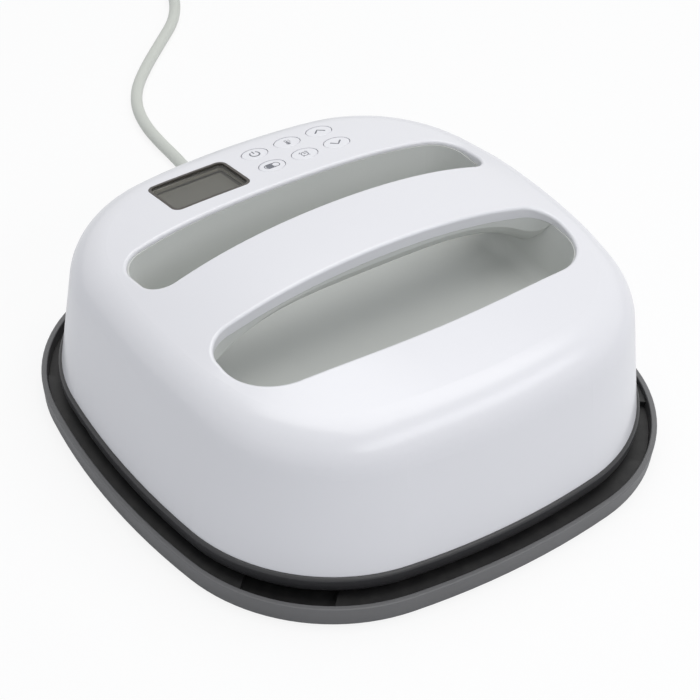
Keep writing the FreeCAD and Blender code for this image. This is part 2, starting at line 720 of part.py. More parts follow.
# %% Safety base
TRAY_RISE = "(sizes.tray_rim_z - sizes.tray_under_z)"
TRAY_LEAN = f"atan(sizes.tray_flare / {TRAY_RISE})"
FLOOR_TOP = "(sizes.tray_under_z + sizes.tray_floor)"
WELL_TOP = f"({FLOOR_TOP} + sizes.liner_skin)"
TRAY_SIDES = (
    ("sizes.hollow_x", "0", "sizes.hollow_width", "sizes.hollow_length"),
    ("-sizes.hollow_x", "0", "sizes.hollow_width", "sizes.hollow_length"),
    ("0", "sizes.hollow_y", "sizes.hollow_length", "sizes.hollow_width"),
    ("0", "-sizes.hollow_y", "sizes.hollow_length", "sizes.hollow_width"),
)


def tray_shell():
    body = outline_pad("tray", "sizes.tray_flare", "sizes.tray_under_z", TRAY_RISE, TRAY_LEAN)
    hollow = body.newObject("PartDesign::Pocket", "Pocket")
    hollow.Profile = outline_sketch(body, "tray", "sizes.tray_wall", "sizes.tray_rim_z")
    hollow.setExpression("Length", f"{TRAY_RISE} - sizes.tray_floor")
    hollow.setExpression("TaperAngle", f"-{TRAY_LEAN}")
    soft = rounded(body, size("tray_foot_round"), lambda edge: level(edge, size("tray_under_z")))
    soft = rounded(soft, size("tray_rim_round"), lambda edge: level(edge, size("tray_rim_z")))
    tools = [
        rod(x, y, "0", "sizes.foot_radius + sizes.fit_gap", "sizes.tray_under_z + sizes.foot_depth")
        for x, y in corners("sizes.foot_reach", "sizes.foot_reach")
    ]
    for x, y, _, _ in TRAY_SIDES:
        tools.append(rod(x, y, "0", "sizes.screw_radius + sizes.screw_gap", f"{FLOOR_TOP} + 1"))
        seat = f"{FLOOR_TOP} - sizes.tray_floor / 2"
        tools.append(rod(x, y, "0", "sizes.screw_head + sizes.screw_gap", seat))
    return node("tray_shell", cut(soft, *tools))


def tray_liner():
    wall_inset = f"sizes.tray_wall + sizes.tray_flare * (sizes.tray_rim_z - {FLOOR_TOP}) / {TRAY_RISE}"
    body = outline_pad(
        "tray", f"{wall_inset} + sizes.liner_gap", FLOOR_TOP, f"sizes.liner_ledge_z - {FLOOR_TOP}", TRAY_LEAN
    )
    well = outline_pad("plate", "-sizes.well_gap", WELL_TOP, "sizes.liner_ledge_z")
    tools = [well]
    for quarter in range(4):
        angle = 45 + 90 * quarter
        recess = doc.addObject("Part::Box", "Recess")
        bind(recess, Length="sizes.tray_half_x", Width="sizes.recess_width", Height="sizes.liner_ledge_z")
        at(
            recess,
            f"cos({angle}) * sizes.recess_start + sin({angle}) * sizes.recess_width / 2",
            f"sin({angle}) * sizes.recess_start - cos({angle}) * sizes.recess_width / 2",
            "sizes.liner_recess_z",
        )
        recess.Placement = Placement(recess.Placement.Base, Rotation(Vector(0, 0, 1), angle))
        tools.append(recess)
    hollow_high = f"sizes.liner_ledge_z - sizes.liner_skin - {FLOOR_TOP}"
    for x, y, wide, deep in TRAY_SIDES:
        tools.append(block(x, y, FLOOR_TOP, wide, deep, hollow_high))
    open_liner = cut(body, *tools)
    boss_high = f"sizes.liner_ledge_z - {FLOOR_TOP} - sizes.liner_skin / 2"
    bosses = [rod(x, y, FLOOR_TOP, "sizes.shell_boss_radius", boss_high) for x, y, _, _ in TRAY_SIDES]
    rest_high = "sizes.housing_low_z - sizes.liner_ledge_z + sizes.liner_skin / 2"
    rest_low = "sizes.liner_ledge_z - sizes.liner_skin / 2"
    rests = []
    for sign in ("", "-"):
        x = f"{sign}(sizes.press_half_x - sizes.rest_inset)"
        y = f"{sign}(sizes.press_half_y - sizes.rest_inset)"
        rests.append(block(x, "0", rest_low, "sizes.rest_width", "sizes.rest_length", rest_high))
        rests.append(block("0", y, rest_low, "sizes.rest_length", "sizes.rest_width", rest_high))
    bore_high = f"sizes.liner_ledge_z - {FLOOR_TOP} - sizes.liner_skin"
    bores = [
        rod(x, y, FLOOR_TOP, "sizes.screw_radius + sizes.thread_gap", bore_high) for x, y, _, _ in TRAY_SIDES
    ]
    return node("tray_liner", cut(fuse(open_liner, *bosses, *rests), *bores))


def tray_small_parts():
    mat = outline_pad("plate", "sizes.wool_inset", WELL_TOP, "sizes.mat_thick")
    node("tray_mat", mat)
    feet = [
        rod(x, y, "0", "sizes.foot_radius", "sizes.tray_under_z + sizes.foot_depth")
        for x, y in corners("sizes.foot_reach", "sizes.foot_reach")
    ]
    node("tray_feet", group(*feet))
    seat = f"{FLOOR_TOP} - sizes.tray_floor / 2"
    long = f"sizes.tray_floor / 2 + sizes.liner_ledge_z - {FLOOR_TOP} - sizes.liner_skin - 0.4"
    high = "sizes.tray_floor / 2"
    screws = []
    for x, y, _, _ in TRAY_SIDES:
        head = rod(x, y, f"{seat} - {high}", "sizes.screw_head", high)
        screws.append(fuse(rod(x, y, seat, "sizes.screw_radius", long), head))
    node("tray_screws", group(*screws))


# %% Lower housing
def lower_housing():
    band = "sizes.shell_low_z - sizes.housing_low_z"
    floor_z = "(sizes.housing_low_z + sizes.housing_skin)"
    outer = outline_pad("press", "-sizes.housing_bead", "sizes.housing_low_z", band)
    outer = rounded(outer, size("housing_round"), lambda edge: level(edge, size("housing_low_z")))
    outer = rounded(outer, size("bead_round"), lambda edge: level(edge, size("shell_low_z")))
    inner = outline_pad("press", "sizes.housing_inner", floor_z, band)
    inner_low = size_of(floor_z)
    inner_round = size("housing_round") - size("housing_skin")
    inner = rounded(inner, inner_round, lambda edge: level(edge, inner_low))
    slope = "sizes.housing_spigot * tan(sizes.shell_draft)"
    ring_inset = f"sizes.shell_skin + sizes.fit_gap + {slope}"
    ring_low = "(sizes.shell_low_z - sizes.housing_spigot)"
    ring = cut(
        outline_pad("press", ring_inset, ring_low, "2 * sizes.housing_spigot"),
        outline_pad("press", f"{ring_inset} + sizes.housing_skin", ring_low, "2 * sizes.housing_spigot"),
    )
    wall_high = "sizes.shield_z - sizes.housing_low_z"
    wall = outline_pad("plate", "-(sizes.plate_gap + sizes.housing_skin)", "sizes.housing_low_z", wall_high)
    opening = outline_pad("plate", "-sizes.plate_gap", "sizes.housing_low_z - 1", f"{wall_high} + 2")
    bosses = [
        rod(x, y, floor_z, "sizes.boss_radius", f"sizes.shield_z - {floor_z}") for x, y in housing_places()
    ]
    tools = [opening]
    for x, y in housing_places():
        tools.append(rod(x, y, "sizes.housing_low_z - 1", "sizes.screw_radius + sizes.screw_gap", "30"))
        head_room = f"sizes.screw_head_high + {floor_z} - sizes.housing_low_z + 1"
        tools.append(rod(x, y, "sizes.housing_low_z - 1", "sizes.screw_head + sizes.screw_gap", head_room))
    return node("lower_housing", cut(fuse(cut(outer, inner), ring, wall, *bosses), *tools))


def housing_screws():
    floor_z = "(sizes.housing_low_z + sizes.housing_skin)"
    seat = f"({floor_z} + sizes.screw_head_high)"
    long = f"sizes.shield_z + sizes.shield_thick + sizes.screw_bite - {seat}"
    screws = [screw(x, y, seat, long) for x, y in housing_places()]
    return node("housing_screws", group(*screws))


# %% Heat plate, heater, insulation and shield
PLATE_TOP = "(sizes.plate_low_z + sizes.plate_thick)"


def heater_points():
    """The heater's path: runs from side to side, its ends turned up."""
    run = size("heater_run")
    pitch = size("heater_pitch")
    z = size_of(PLATE_TOP) - size("heater_cover")
    end_x = run + size("heater_rise")
    bend = pitch / 2
    points = [(-end_x, -2 * pitch, size("heater_top_z")), (-end_x, -2 * pitch, z)]
    for row in range(4):
        side = 1 if row % 2 == 0 else -1
        y = (row - 2) * pitch
        points += [(side * (run + bend), y, z), (side * (run + bend), y + pitch, z)]
    points += [(end_x, 2 * pitch, z), (end_x, 2 * pitch, size("heater_top_z"))]
    return points


def heater_tube(radius):
    points = heater_points()
    bends = [size("heater_rise")] + [size("heater_pitch") / 2 - 0.01] * 8 + [size("heater_rise")]
    return tube(points, radius, bends)


def standoff_places():
    return corners("sizes.standoff_x", "sizes.standoff_y") + [
        ("0", "sizes.standoff_end_y"),
        ("0", "-sizes.standoff_end_y"),
    ]


def heater_ends():
    end_x = "(sizes.heater_run + sizes.heater_rise)"
    return [(f"-{end_x}", "-2 * sizes.heater_pitch"), (end_x, "2 * sizes.heater_pitch")]


def heat_plate():
    body = outline_pad("plate", "0", "sizes.plate_low_z", "sizes.plate_thick")
    soft = rounded(body, size("plate_round"), lambda edge: level(edge, size("plate_low_z")))
    channel = computed("Heater_channel", heater_tube(size("heater_radius") + size("thread_gap")))
    stud_low = f"{PLATE_TOP} - sizes.stud_depth"
    stud_bore = "sizes.stud_radius + sizes.thread_gap"
    studs = [rod(x, y, stud_low, stud_bore, "sizes.stud_depth") for x, y in standoff_places()]
    clips = [
        rod(x, y, f"{PLATE_TOP} - {deep}", "sizes.small_screw + sizes.thread_gap", deep)
        for x, y, deep in (
            ("sizes.probe_x", "sizes.probe_screw_y", "(sizes.plate_screw_long - sizes.probe_high + 0.2)"),
            ("sizes.fuse_x", "sizes.fuse_screw_y", "(sizes.plate_screw_long - sizes.clip_thick + 0.2)"),
        )
    ]
    return node("heat_plate", cut(soft, channel, *clips, *studs))


def heater():
    node("heating_element", computed("Heater", heater_tube(size("heater_radius"))))
    bush = ("sizes.heater_top_z", "sizes.bush_radius", "sizes.bush_height")
    bushes = [rod(x, y, *bush) for x, y in heater_ends()]
    node("ceramic_bushes", group(*bushes))


def insulation():
    wool_high = f"sizes.shield_z - sizes.wool_gap - {PLATE_TOP}"
    wool = outline_pad("plate", "sizes.wool_inset", PLATE_TOP, wool_high)
    clear = "sizes.standoff_radius + sizes.wool_gap"
    tools = [rod(x, y, PLATE_TOP, clear, "20") for x, y in standoff_places()]
    tools += [rod(x, y, PLATE_TOP, "sizes.bush_radius + 2", "20") for x, y in heater_ends()]
    pocket = ("sizes.pocket_wide", "sizes.pocket_deep", "20")
    tools.append(block("sizes.pocket_x", "sizes.pocket_y", PLATE_TOP, *pocket))
    return node("insulation_blanket", cut(wool, *tools))


def heat_shield():
    plate = outline_pad("press", "sizes.shield_inset", "sizes.shield_z", "sizes.shield_thick")
    low = "sizes.shield_z - 1"
    tools = [rod(x, y, low, "sizes.screw_radius + sizes.screw_gap", "4") for x, y in housing_places()]
    small_places = standoff_places() + post_places() + clamp_places()
    tools += [rod(x, y, low, "sizes.small_screw + sizes.screw_gap", "4") for x, y in small_places]
    tools += [rod(x, y, low, "sizes.heater_radius + 1", "4") for x, y in heater_ends()]
    tools.append(rod("sizes.lead_hole_x", "sizes.pocket_y", low, "4", "4"))
    tools.append(block("sizes.cord_x", "sizes.press_half_y - 8", low, "2 * sizes.boot_flange + 1", "8", "4"))
    return node("heat_shield", cut(plate, *tools))


def standoffs():
    posts = []
    for x, y in standoff_places():
        high = f"sizes.shield_z - {PLATE_TOP}"
        stud = rod(x, y, f"{PLATE_TOP} - sizes.stud_depth", "sizes.stud_radius", "sizes.stud_depth")
        post = fuse(rod(x, y, PLATE_TOP, "sizes.standoff_radius", high), stud)
        bore = rod(x, y, "sizes.shield_z - 8", "sizes.small_screw + sizes.thread_gap", "8")
        posts.append(cut(post, bore))
    return node("plate_standoffs", group(*posts))


def probe_and_fuse():
    """Temperature probe and thermal fuse, each under a clip on the plate."""
    bead = block("sizes.probe_x", "sizes.pocket_y", PLATE_TOP, "14", "9", "sizes.probe_high")
    hole = rod("sizes.probe_x", "sizes.probe_screw_y", PLATE_TOP, "sizes.small_screw + sizes.screw_gap", "6")
    node("temperature_probe", cut(bead, hole))
    start = "sizes.fuse_x - sizes.fuse_length / 2"
    y = "sizes.pocket_y + 2"
    axis_z = f"{PLATE_TOP} + sizes.fuse_radius"
    node("thermal_fuse", along_x(start, y, axis_z, "sizes.fuse_radius", "sizes.fuse_length"))
    across = "2 * sizes.fuse_radius"
    bridge = block("sizes.fuse_x", y, PLATE_TOP, "5", f"{across} + 2", f"{across} + 1")
    foot = block("sizes.fuse_x", "sizes.fuse_screw_y + 1", PLATE_TOP, "5", "7", "sizes.clip_thick")
    saddle = along_x(start, y, axis_z, "sizes.fuse_radius + sizes.thread_gap", "sizes.fuse_length")
    slot = block("sizes.fuse_x", y, PLATE_TOP, "6", f"{across} + 2 * sizes.thread_gap", "sizes.fuse_radius")
    hole = rod("sizes.fuse_x", "sizes.fuse_screw_y", PLATE_TOP, "sizes.small_screw + sizes.screw_gap", "2")
    return node("fuse_clip", cut(fuse(bridge, foot), saddle, slot, hole))


def plate_screws():
    """One kind of screw holds the shield to its standoffs and the probe and the clip to the plate."""
    long = "sizes.plate_screw_long"
    shield_top = "(sizes.shield_z + sizes.shield_thick)"
    screws = [screw(x, y, shield_top, long, False, True) for x, y in standoff_places()]
    probe_top = f"({PLATE_TOP} + sizes.probe_high)"
    clip_top = f"({PLATE_TOP} + sizes.clip_thick)"
    screws.append(screw("sizes.probe_x", "sizes.probe_screw_y", probe_top, long, False, True))
    screws.append(screw("sizes.fuse_x", "sizes.fuse_screw_y", clip_top, long, False, True))
    return node("plate_screws", group(*screws))


# %% Top shell
HANDLE_MIDDLE = "((sizes.handle_front_y + sizes.handle_rear_y) / 2)"


def shell_form(inset, low, height, shoulder):
    """Drafted walls under a domed surface, with the shoulder between them rounded."""
    walls = outline_pad("press", inset, low, "sizes.crown_z + sizes.handle_rise", "-sizes.shell_draft")
    block_form = overlap(walls, computed("Dome", press_slab(height)))
    half_way = (size("shell_low_z") + size("crown_z")) / 2
    return rounded(block_form, shoulder, lambda edge: edge.BoundBox.ZMin > half_way)


def on_opening(edge):
    """True for the upper edges of the finger openings."""
    box = edge.BoundBox
    reach = size("opening_reach") + 0.01
    inside_x = box.XMax < reach and box.XMin > -reach
    inside_y = box.YMax < size("rear_edge_y") + 0.01 and box.YMin > size("front_edge_y") - 0.01
    return inside_x and inside_y and box.ZMin > (size("shell_low_z") + size("crown_z")) / 2


def opening_tool(which):
    low = size("shell_low_z") - 1
    return computed("Opening", prism(opening_wire(which, low), size("crown_z") + size("handle_rise")))


def ellipse_rod(wide, deep, low, high):
    """An upright elliptic rod by expressions of its half sizes."""
    ellipse = doc.addObject("Part::Ellipse", "Ellipse")
    bind(ellipse, MajorRadius=wide, MinorRadius=deep)
    at(ellipse, z=low)
    body = doc.addObject("Part::Extrusion", "Oval")
    body.Base = ellipse
    body.DirMode = "Custom"
    body.Dir = Vector(0, 0, 1)
    body.Solid = True
    return bind(body, LengthFwd=f"({high}) - ({low})")


def soft_block(wide, deep, radius, low, high):
    """A block round the Z axis with rounded upright edges."""
    box = block("0", "0", low, wide, deep, f"({high}) - ({low})")
    return rounded(box, size_of(radius), lambda edge: edge.BoundBox.ZLength > 0.1)


def placed(thing, placement):
    thing.Placement = placement
    return thing


KEYS = (
    ("power_key", 0, "key_rear_y"),
    ("temperature_key", 1, "key_rear_y"),
    ("up_key", 2, "key_rear_y"),
    ("units_key", 0, "key_front_y"),
    ("timer_key", 1, "key_front_y"),
    ("down_key", 2, "key_front_y"),
)


def key_place(column, row):
    return on_surface(size("key_first_x") + column * size("key_pitch_x"), size(row))


def panel_place():
    return on_surface(0, size("panel_y"))


def window_place():
    return on_surface(size("window_x"), size("panel_y"))


def top_shell():
    outer = shell_form("0", "sizes.shell_low_z", shell_top, size("shoulder"))
    opened = cut(outer, opening_tool("rear"), opening_tool("front"))
    opened = rounded(opened, size("lip_round"), on_opening)
    inner_shoulder = size("shoulder") - size("shell_skin")
    inner = shell_form("sizes.shell_skin", "sizes.shell_low_z - 1", lip_low, inner_shoulder)
    straight = "sizes.opening_reach - sizes.front_inner_round"
    deep = "sizes.handle_rear_y - sizes.handle_front_y - 2 * sizes.handle_skin"
    channel = overlap(
        block("0", HANDLE_MIDDLE, "sizes.tub_floor_z", f"2 * ({straight})", deep, "sizes.crown_z"),
        computed("Handle_roof", press_slab(lambda x, y: shell_top(x, y) - size("shell_skin"))),
    )
    tools = [inner, channel]
    through = ("-sizes.board_depth", "5")
    half_wide, half_deep = "sizes.key_half_wide + sizes.key_gap", "sizes.key_half_deep + sizes.key_gap"
    for _, column, row in KEYS:
        tools.append(placed(ellipse_rod(half_wide, half_deep, *through), key_place(column, row)))
    window = soft_block("sizes.window_wide", "sizes.window_deep", "sizes.window_round", *through)
    tools.append(placed(window, window_place()))
    boot_hole = "sizes.boot_root_radius + 0.1"
    tools.append(along_y("sizes.cord_x", "sizes.press_half_y - 20", "sizes.cord_z", boot_hole, "40"))
    hollow = cut(opened, *tools)
    shield_top = "(sizes.shield_z + sizes.shield_thick)"
    long = "sizes.crown_z"
    bosses = [rod(x, y, shield_top, "sizes.shell_boss_radius", long) for x, y in housing_places()]
    bosses += [rod(x, y, "sizes.ear_z", "sizes.ear_radius", long) for x, y in ear_places()]
    for x, y in corners("sizes.board_hole_x", "sizes.board_hole_y"):
        boss = rod(x, y, "-sizes.board_depth", "2 * sizes.small_screw", "2 * sizes.board_depth")
        bosses.append(placed(group(boss), panel_place()))
    seated = overlap(fuse(*bosses), inner)
    bore = "sizes.screw_radius + sizes.thread_gap"
    bores = [rod(x, y, shield_top, bore, "sizes.screw_bite + 1") for x, y in housing_places()]
    bores += [rod(x, y, "sizes.ear_z", bore, "7") for x, y in ear_places()]
    small_bore = "sizes.small_screw + sizes.thread_gap"
    for x, y in corners("sizes.board_hole_x", "sizes.board_hole_y"):
        bores.append(placed(group(rod(x, y, "-sizes.board_depth", small_bore, "7")), panel_place()))
    return node("top_shell", cut(fuse(hollow, seated), *bores))


def along_y(x, y, z, radius, long):
    """A cylinder along +Y by expressions: the middle of its near face, radius and length."""
    cylinder = rod(x, y, z, radius, long)
    cylinder.Placement = Placement(cylinder.Placement.Base, Rotation(Vector(1, 0, 0), -90))
    return cylinder


def along_x(x, y, z, radius, long):
    """A cylinder along +X by expressions."""
    cylinder = rod(x, y, z, radius, long)
    cylinder.Placement = Placement(cylinder.Placement.Base, Rotation(Vector(0, 1, 0), 90))
    return cylinder


# %% Finger tub and the handle's underside
def ear_places():
    places = []
    for side in ("", "-"):
        for sign in ("+", "-"):
            places.append((f"{side}sizes.ear_x", f"{HANDLE_MIDDLE} {sign} sizes.ear_y"))
    return places


def handle_screw_places():
    return [f"{HANDLE_MIDDLE} + sizes.handle_screw_y", f"{HANDLE_MIDDLE} - sizes.handle_screw_y"]


def tub_outer_x():
    """Expression of the tub's outer face at the height of the handle's screws."""
    meet = "(sizes.crown_z - 2 * sizes.shell_skin)"
    return f"(sizes.opening_reach + sizes.tub_skin - ({meet} - sizes.handle_screw_z) * tan(sizes.tub_draft))"


def hand_tub():
    skin = size("tub_skin")
    outside = computed("Tub_outside", tub_bowl(skin, size("tub_floor_z") - skin))
    inside = computed("Tub_inside", tub_bowl(0, size("tub_floor_z")))
    seat = computed("Tub_seat", press_slab(lip_seat))
    flange_form = prism(tub_wire(size("tub_floor_z"), -skin - size("tub_flange")), size("crown_z"))
    flange = overlap(computed("Flange_form", flange_form), computed("Flange_slab", press_slab(lip_seat, skin)))
    ears = []
    tools = [inside]
    for x, y in ear_places():
        tools.append(rod(x, y, "sizes.ear_z", "sizes.ear_radius + sizes.fit_gap", "sizes.crown_z"))
        side = "-" if x.startswith("-") else ""
        wall = "(sizes.opening_reach - 2 * sizes.tub_skin / 2)"
        wide = f"(sizes.ear_x + sizes.ear_radius - {wall})"
        low = "sizes.ear_z - sizes.tub_skin"
        middle = f"{side}({wall} + {wide} / 2)"
        ears.append(block(middle, y, low, wide, "2 * sizes.ear_radius", "sizes.tub_skin"))
        tools.append(rod(x, y, "sizes.ear_z - 10", "sizes.screw_radius + sizes.screw_gap", "12"))
    for y in handle_screw_places():
        for x in ("sizes.opening_reach - 15", "-sizes.opening_reach - 15"):
            tools.append(along_x(x, y, "sizes.handle_screw_z", "sizes.screw_radius + sizes.screw_gap", "30"))
    return node("hand_tub", cut(fuse(overlap(outside, seat), flange, *ears), *tools))


def handle_underside():
    gap = size("fit_gap")
    form = computed("Handle_form", tub_bowl(-gap, size("tub_floor_z")))
    strip = cut(form, opening_tool("rear"), opening_tool("front"))
    under_lip = overlap(strip, computed("Handle_seat", press_slab(lip_seat)))
    reach = size("opening_reach") + 6
    low_y = size("handle_front_y") - 20
    high_y = size("handle_rear_y") + 20
    keel = slab(handle_under, reach, low_y, high_y, -size("crown_z"), 4.0)
    solid_form = overlap(under_lip, computed("Handle_keel", keel))

    def handle_roof(x, y):
        return handle_under(x, y) + size("handle_skin")

    roof = slab(handle_roof, reach, low_y, high_y, -size("crown_z"), 4.0)
    deep = "sizes.handle_rear_y - sizes.handle_front_y - 2 * sizes.handle_skin"
    wide = "2 * (sizes.opening_reach - sizes.handle_end - sizes.tub_skin)"
    room = block("0", HANDLE_MIDDLE, "sizes.tub_floor_z", wide, deep, "sizes.crown_z")
    tools = [overlap(room, computed("Handle_room", roof))]
    bore = "sizes.screw_radius + sizes.thread_gap"
    for y in handle_screw_places():
        tools.append(along_x(f"{tub_outer_x()} - 9", y, "sizes.handle_screw_z", bore, "15"))
        tools.append(along_x(f"-{tub_outer_x()} - 6", y, "sizes.handle_screw_z", bore, "15"))
    return node("handle_underside", cut(solid_form, *tools))


def tub_screws():
    """Four screws through the tub's ends into the handle, and four up through its ears."""
    long = "sizes.tub_screw_long"
    z = "sizes.handle_screw_z"
    seat = f"({tub_outer_x()} + sizes.screw_head * tan(sizes.tub_draft) + sizes.thread_gap)"
    screws = []
    for y in handle_screw_places():
        shank = along_x(f"{seat} - {long}", y, z, "sizes.screw_radius", long)
        head = along_x(seat, y, z, "sizes.screw_head", "sizes.screw_head_high")
        screws.append(fuse(shank, head))
        shank = along_x(f"-{seat}", y, z, "sizes.screw_radius", long)
        head = along_x(f"-{seat} - sizes.screw_head_high", y, z, "sizes.screw_head", "sizes.screw_head_high")
        screws.append(fuse(shank, head))
    screws += [screw(x, y, "(sizes.ear_z - sizes.tub_skin)", long) for x, y in ear_places()]
    return node("tub_screws", group(*screws))


# %% Control panel
def display():
    bezel_half = "(sizes.window_wide - 2 * sizes.fit_gap)"
    bezel_deep = "(sizes.window_deep - 2 * sizes.fit_gap)"
    round_out = "sizes.window_round - sizes.fit_gap"
    flange_top = "(-sizes.shell_skin - sizes.key_collar_gap)"
    outside = soft_block(bezel_half, bezel_deep, round_out, f"{flange_top} - 0.5", "5")
    flange_form = soft_block(
        f"{bezel_half} + 2 * sizes.bezel_flange",
        f"{bezel_deep} + 2 * sizes.bezel_flange",
        f"{round_out} + sizes.bezel_flange",
        f"{flange_top} - sizes.key_collar_thick",
        flange_top,
    )
    under_shell = computed("Under_shell", press_slab(lip_seat))
    flange = overlap(placed(group(flange_form), window_place()), under_shell)
    inner_wide = f"({bezel_half} - 2 * sizes.bezel_wide)"
    inner_deep = f"({bezel_deep} - 2 * sizes.bezel_wide)"
    round_in = f"{round_out} - sizes.bezel_wide"
    seat = "(-sizes.window_drop - sizes.window_thick)"
    inside = soft_block(inner_wide, inner_deep, round_in, seat, "6")
    sight_size = (f"{inner_wide} - 1.6", f"{inner_deep} - 1.6", f"{round_in} - 0.8")
    sight = soft_block(*sight_size, "-sizes.board_depth", "6")
    ring = overlap(placed(group(outside), window_place()), computed("Surface", press_slab(shell_top)))
    openings = placed(group(inside, sight), window_place())
    node("display_bezel", cut(fuse(ring, flange), openings))
    gap = "2 * sizes.thread_gap"
    pane_size = (f"{inner_wide} - {gap}", f"{inner_deep} - {gap}", round_in)
    window = soft_block(*pane_size, seat, "-sizes.window_drop")
    node("display_window", placed(group(window), window_place()))
    glass_low = "(-sizes.lcd_depth - sizes.lcd_thick)"
    glass = block("sizes.window_x", "0", glass_low, "sizes.lcd_wide", "sizes.lcd_deep", "sizes.lcd_thick")
    node("lcd_panel", placed(group(glass), panel_place()))
    frame_high = "sizes.board_depth - sizes.lcd_depth - 0.3"
    holder_size = ("sizes.lcd_wide + 4", "sizes.lcd_deep + 4", frame_high)
    holder = block("sizes.window_x", "0", "-sizes.board_depth", *holder_size)
    nest_size = ("sizes.lcd_wide + 0.1", "sizes.lcd_deep + 0.1", "10")
    nest = block("sizes.window_x", "0", glass_low, *nest_size)
    node("lcd_frame", placed(group(cut(holder, nest)), panel_place()))


def key(label, column, row):
    collar_top = "(-sizes.shell_skin - sizes.key_collar_gap)"
    collar_low = f"({collar_top} - sizes.key_collar_thick)"
    cap = ellipse_rod("sizes.key_half_wide", "sizes.key_half_deep", collar_low, "3")
    collar_size = ("sizes.key_half_wide + sizes.key_flange", "sizes.key_half_deep + sizes.key_flange")
    collar = ellipse_rod(*collar_size, collar_low, collar_top)
    stem = rod("0", "0", "-sizes.key_depth", "sizes.key_stem", f"sizes.key_depth + {collar_low} + 0.2")
    raised = placed(group(fuse(cap, collar, stem)), key_place(column, row))
    flush = overlap(raised, computed("Surface", press_slab(shell_top)))
    x, y = size("key_first_x") + column * size("key_pitch_x"), size(row)
    surface_low = shell_top(x, y) - 2.0
    return node(label, rounded(flush, size("key_edge"), lambda edge: edge.BoundBox.ZMin > surface_low))


def control_board():
    board_size = ("sizes.board_wide", "sizes.board_deep", "sizes.board_thick")
    plate = block("0", "0", "-sizes.board_depth - sizes.board_thick", *board_size)
    holes = [
        rod(x, y, "-sizes.board_depth - 5", "sizes.small_screw + sizes.screw_gap", "10")
        for x, y in corners("sizes.board_hole_x", "sizes.board_hole_y")
    ]
    node("control_board", placed(group(cut(plate, *holes)), panel_place()))
    switches = []
    to_panel = panel_place().inverse()
    for _, column, row in KEYS:
        spot = to_panel.multVec(key_place(column, row).Base)
        tip = spot.z - size("key_depth") - size("key_travel") - size("switch_slack")
        side = "sizes.switch_size"
        case = block(str(spot.x), str(spot.y), "-sizes.board_depth", side, side, "sizes.switch_high")
        plunger_low = size("switch_high") - size("board_depth")
        plunger_size = (str(plunger_low), "sizes.switch_size * 0.28", str(tip - plunger_low))
        plunger = rod(str(spot.x), str(spot.y), *plunger_size)
        switches.append(fuse(case, plunger))
    node("tact_switches", placed(group(*switches), panel_place()))
    buzzer_low = "(-sizes.board_depth - sizes.board_thick - sizes.buzzer_high)"
    buzzer = rod("sizes.buzzer_x", "0", buzzer_low, "sizes.buzzer_radius", "sizes.buzzer_high")
    sound = rod("sizes.buzzer_x", "0", buzzer_low, "1", "1")
    node("buzzer", placed(group(cut(buzzer, sound)), panel_place()))


# %% Power board
# Boxes on the power board: right of its middle, behind it, wide, deep, tall.
RELAY = (-30.0, -6.0, 19.0, 15.5, 15.5)
TRANSFORMER = (-12.0, 0.0, 16.0, 20.0, 14.0)
TERMINALS = (43.0, -9.0, 20.0, 10.0, 12.0)
PROBE_SOCKET = (17.0, -17.0, 9.0, 6.0, 6.0)
RIBBON_SOCKET = (7.0, -2.0, 20.0, 6.0, 7.0)
BOARD_TOP = "(sizes.power_z + sizes.board_thick)"


def on_board(right, behind, wide, deep, tall):
    x, y = f"sizes.power_x + {right}", f"sizes.power_y + {behind}"
    return block(x, y, BOARD_TOP, str(wide), str(deep), str(tall))


def post_places():
    wide = "(sizes.power_wide / 2 - sizes.power_margin)"
    deep = "(sizes.power_deep / 2 - sizes.power_margin)"
    return [(f"sizes.power_x + {x}", f"sizes.power_y + {y}") for x, y in corners(wide, deep)]


def power_board():
    board_size = ("sizes.power_wide", "sizes.power_deep", "sizes.board_thick")
    plate = block("sizes.power_x", "sizes.power_y", "sizes.power_z", *board_size)
    hole_size = ("sizes.power_z - 1", "sizes.small_screw + sizes.screw_gap", "5")
    holes = [rod(x, y, *hole_size) for x, y in post_places()]
    node("power_board", cut(plate, *holes))
    posts = []
    shield_top = "(sizes.shield_z + sizes.shield_thick)"
    for x, y in post_places():
        post = rod(x, y, shield_top, "sizes.post_radius", f"sizes.power_z - {shield_top}")
        stud = rod(x, y, "sizes.shield_z", "sizes.small_screw", "sizes.shield_thick")
        bore = rod(x, y, "sizes.power_z - 8", "sizes.small_screw + sizes.thread_gap", "8")
        posts.append(cut(fuse(post, stud), bore))
    node("board_posts", group(*posts))
    node("relay", on_board(*RELAY))
    node("transformer", on_board(*TRANSFORMER))
    node("terminal_block", on_board(*TERMINALS))
    node("board_sockets", group(on_board(*PROBE_SOCKET), on_board(*RIBBON_SOCKET)))
    node("capacitor", rod("sizes.power_x + 22", "sizes.power_y + 12", BOARD_TOP, "5", "15"))


def board_screws():
    """The eight screws of the two boards."""
    long = "sizes.board_thick + 6"
    under = "(-sizes.board_depth - sizes.board_thick)"
    places = corners("sizes.board_hole_x", "sizes.board_hole_y")
    control = [screw(x, y, under, long, True, True) for x, y in places]
    power = [screw(x, y, BOARD_TOP, long, False, True) for x, y in post_places()]
    return node("board_screws", group(placed(group(*control), panel_place()), *power))


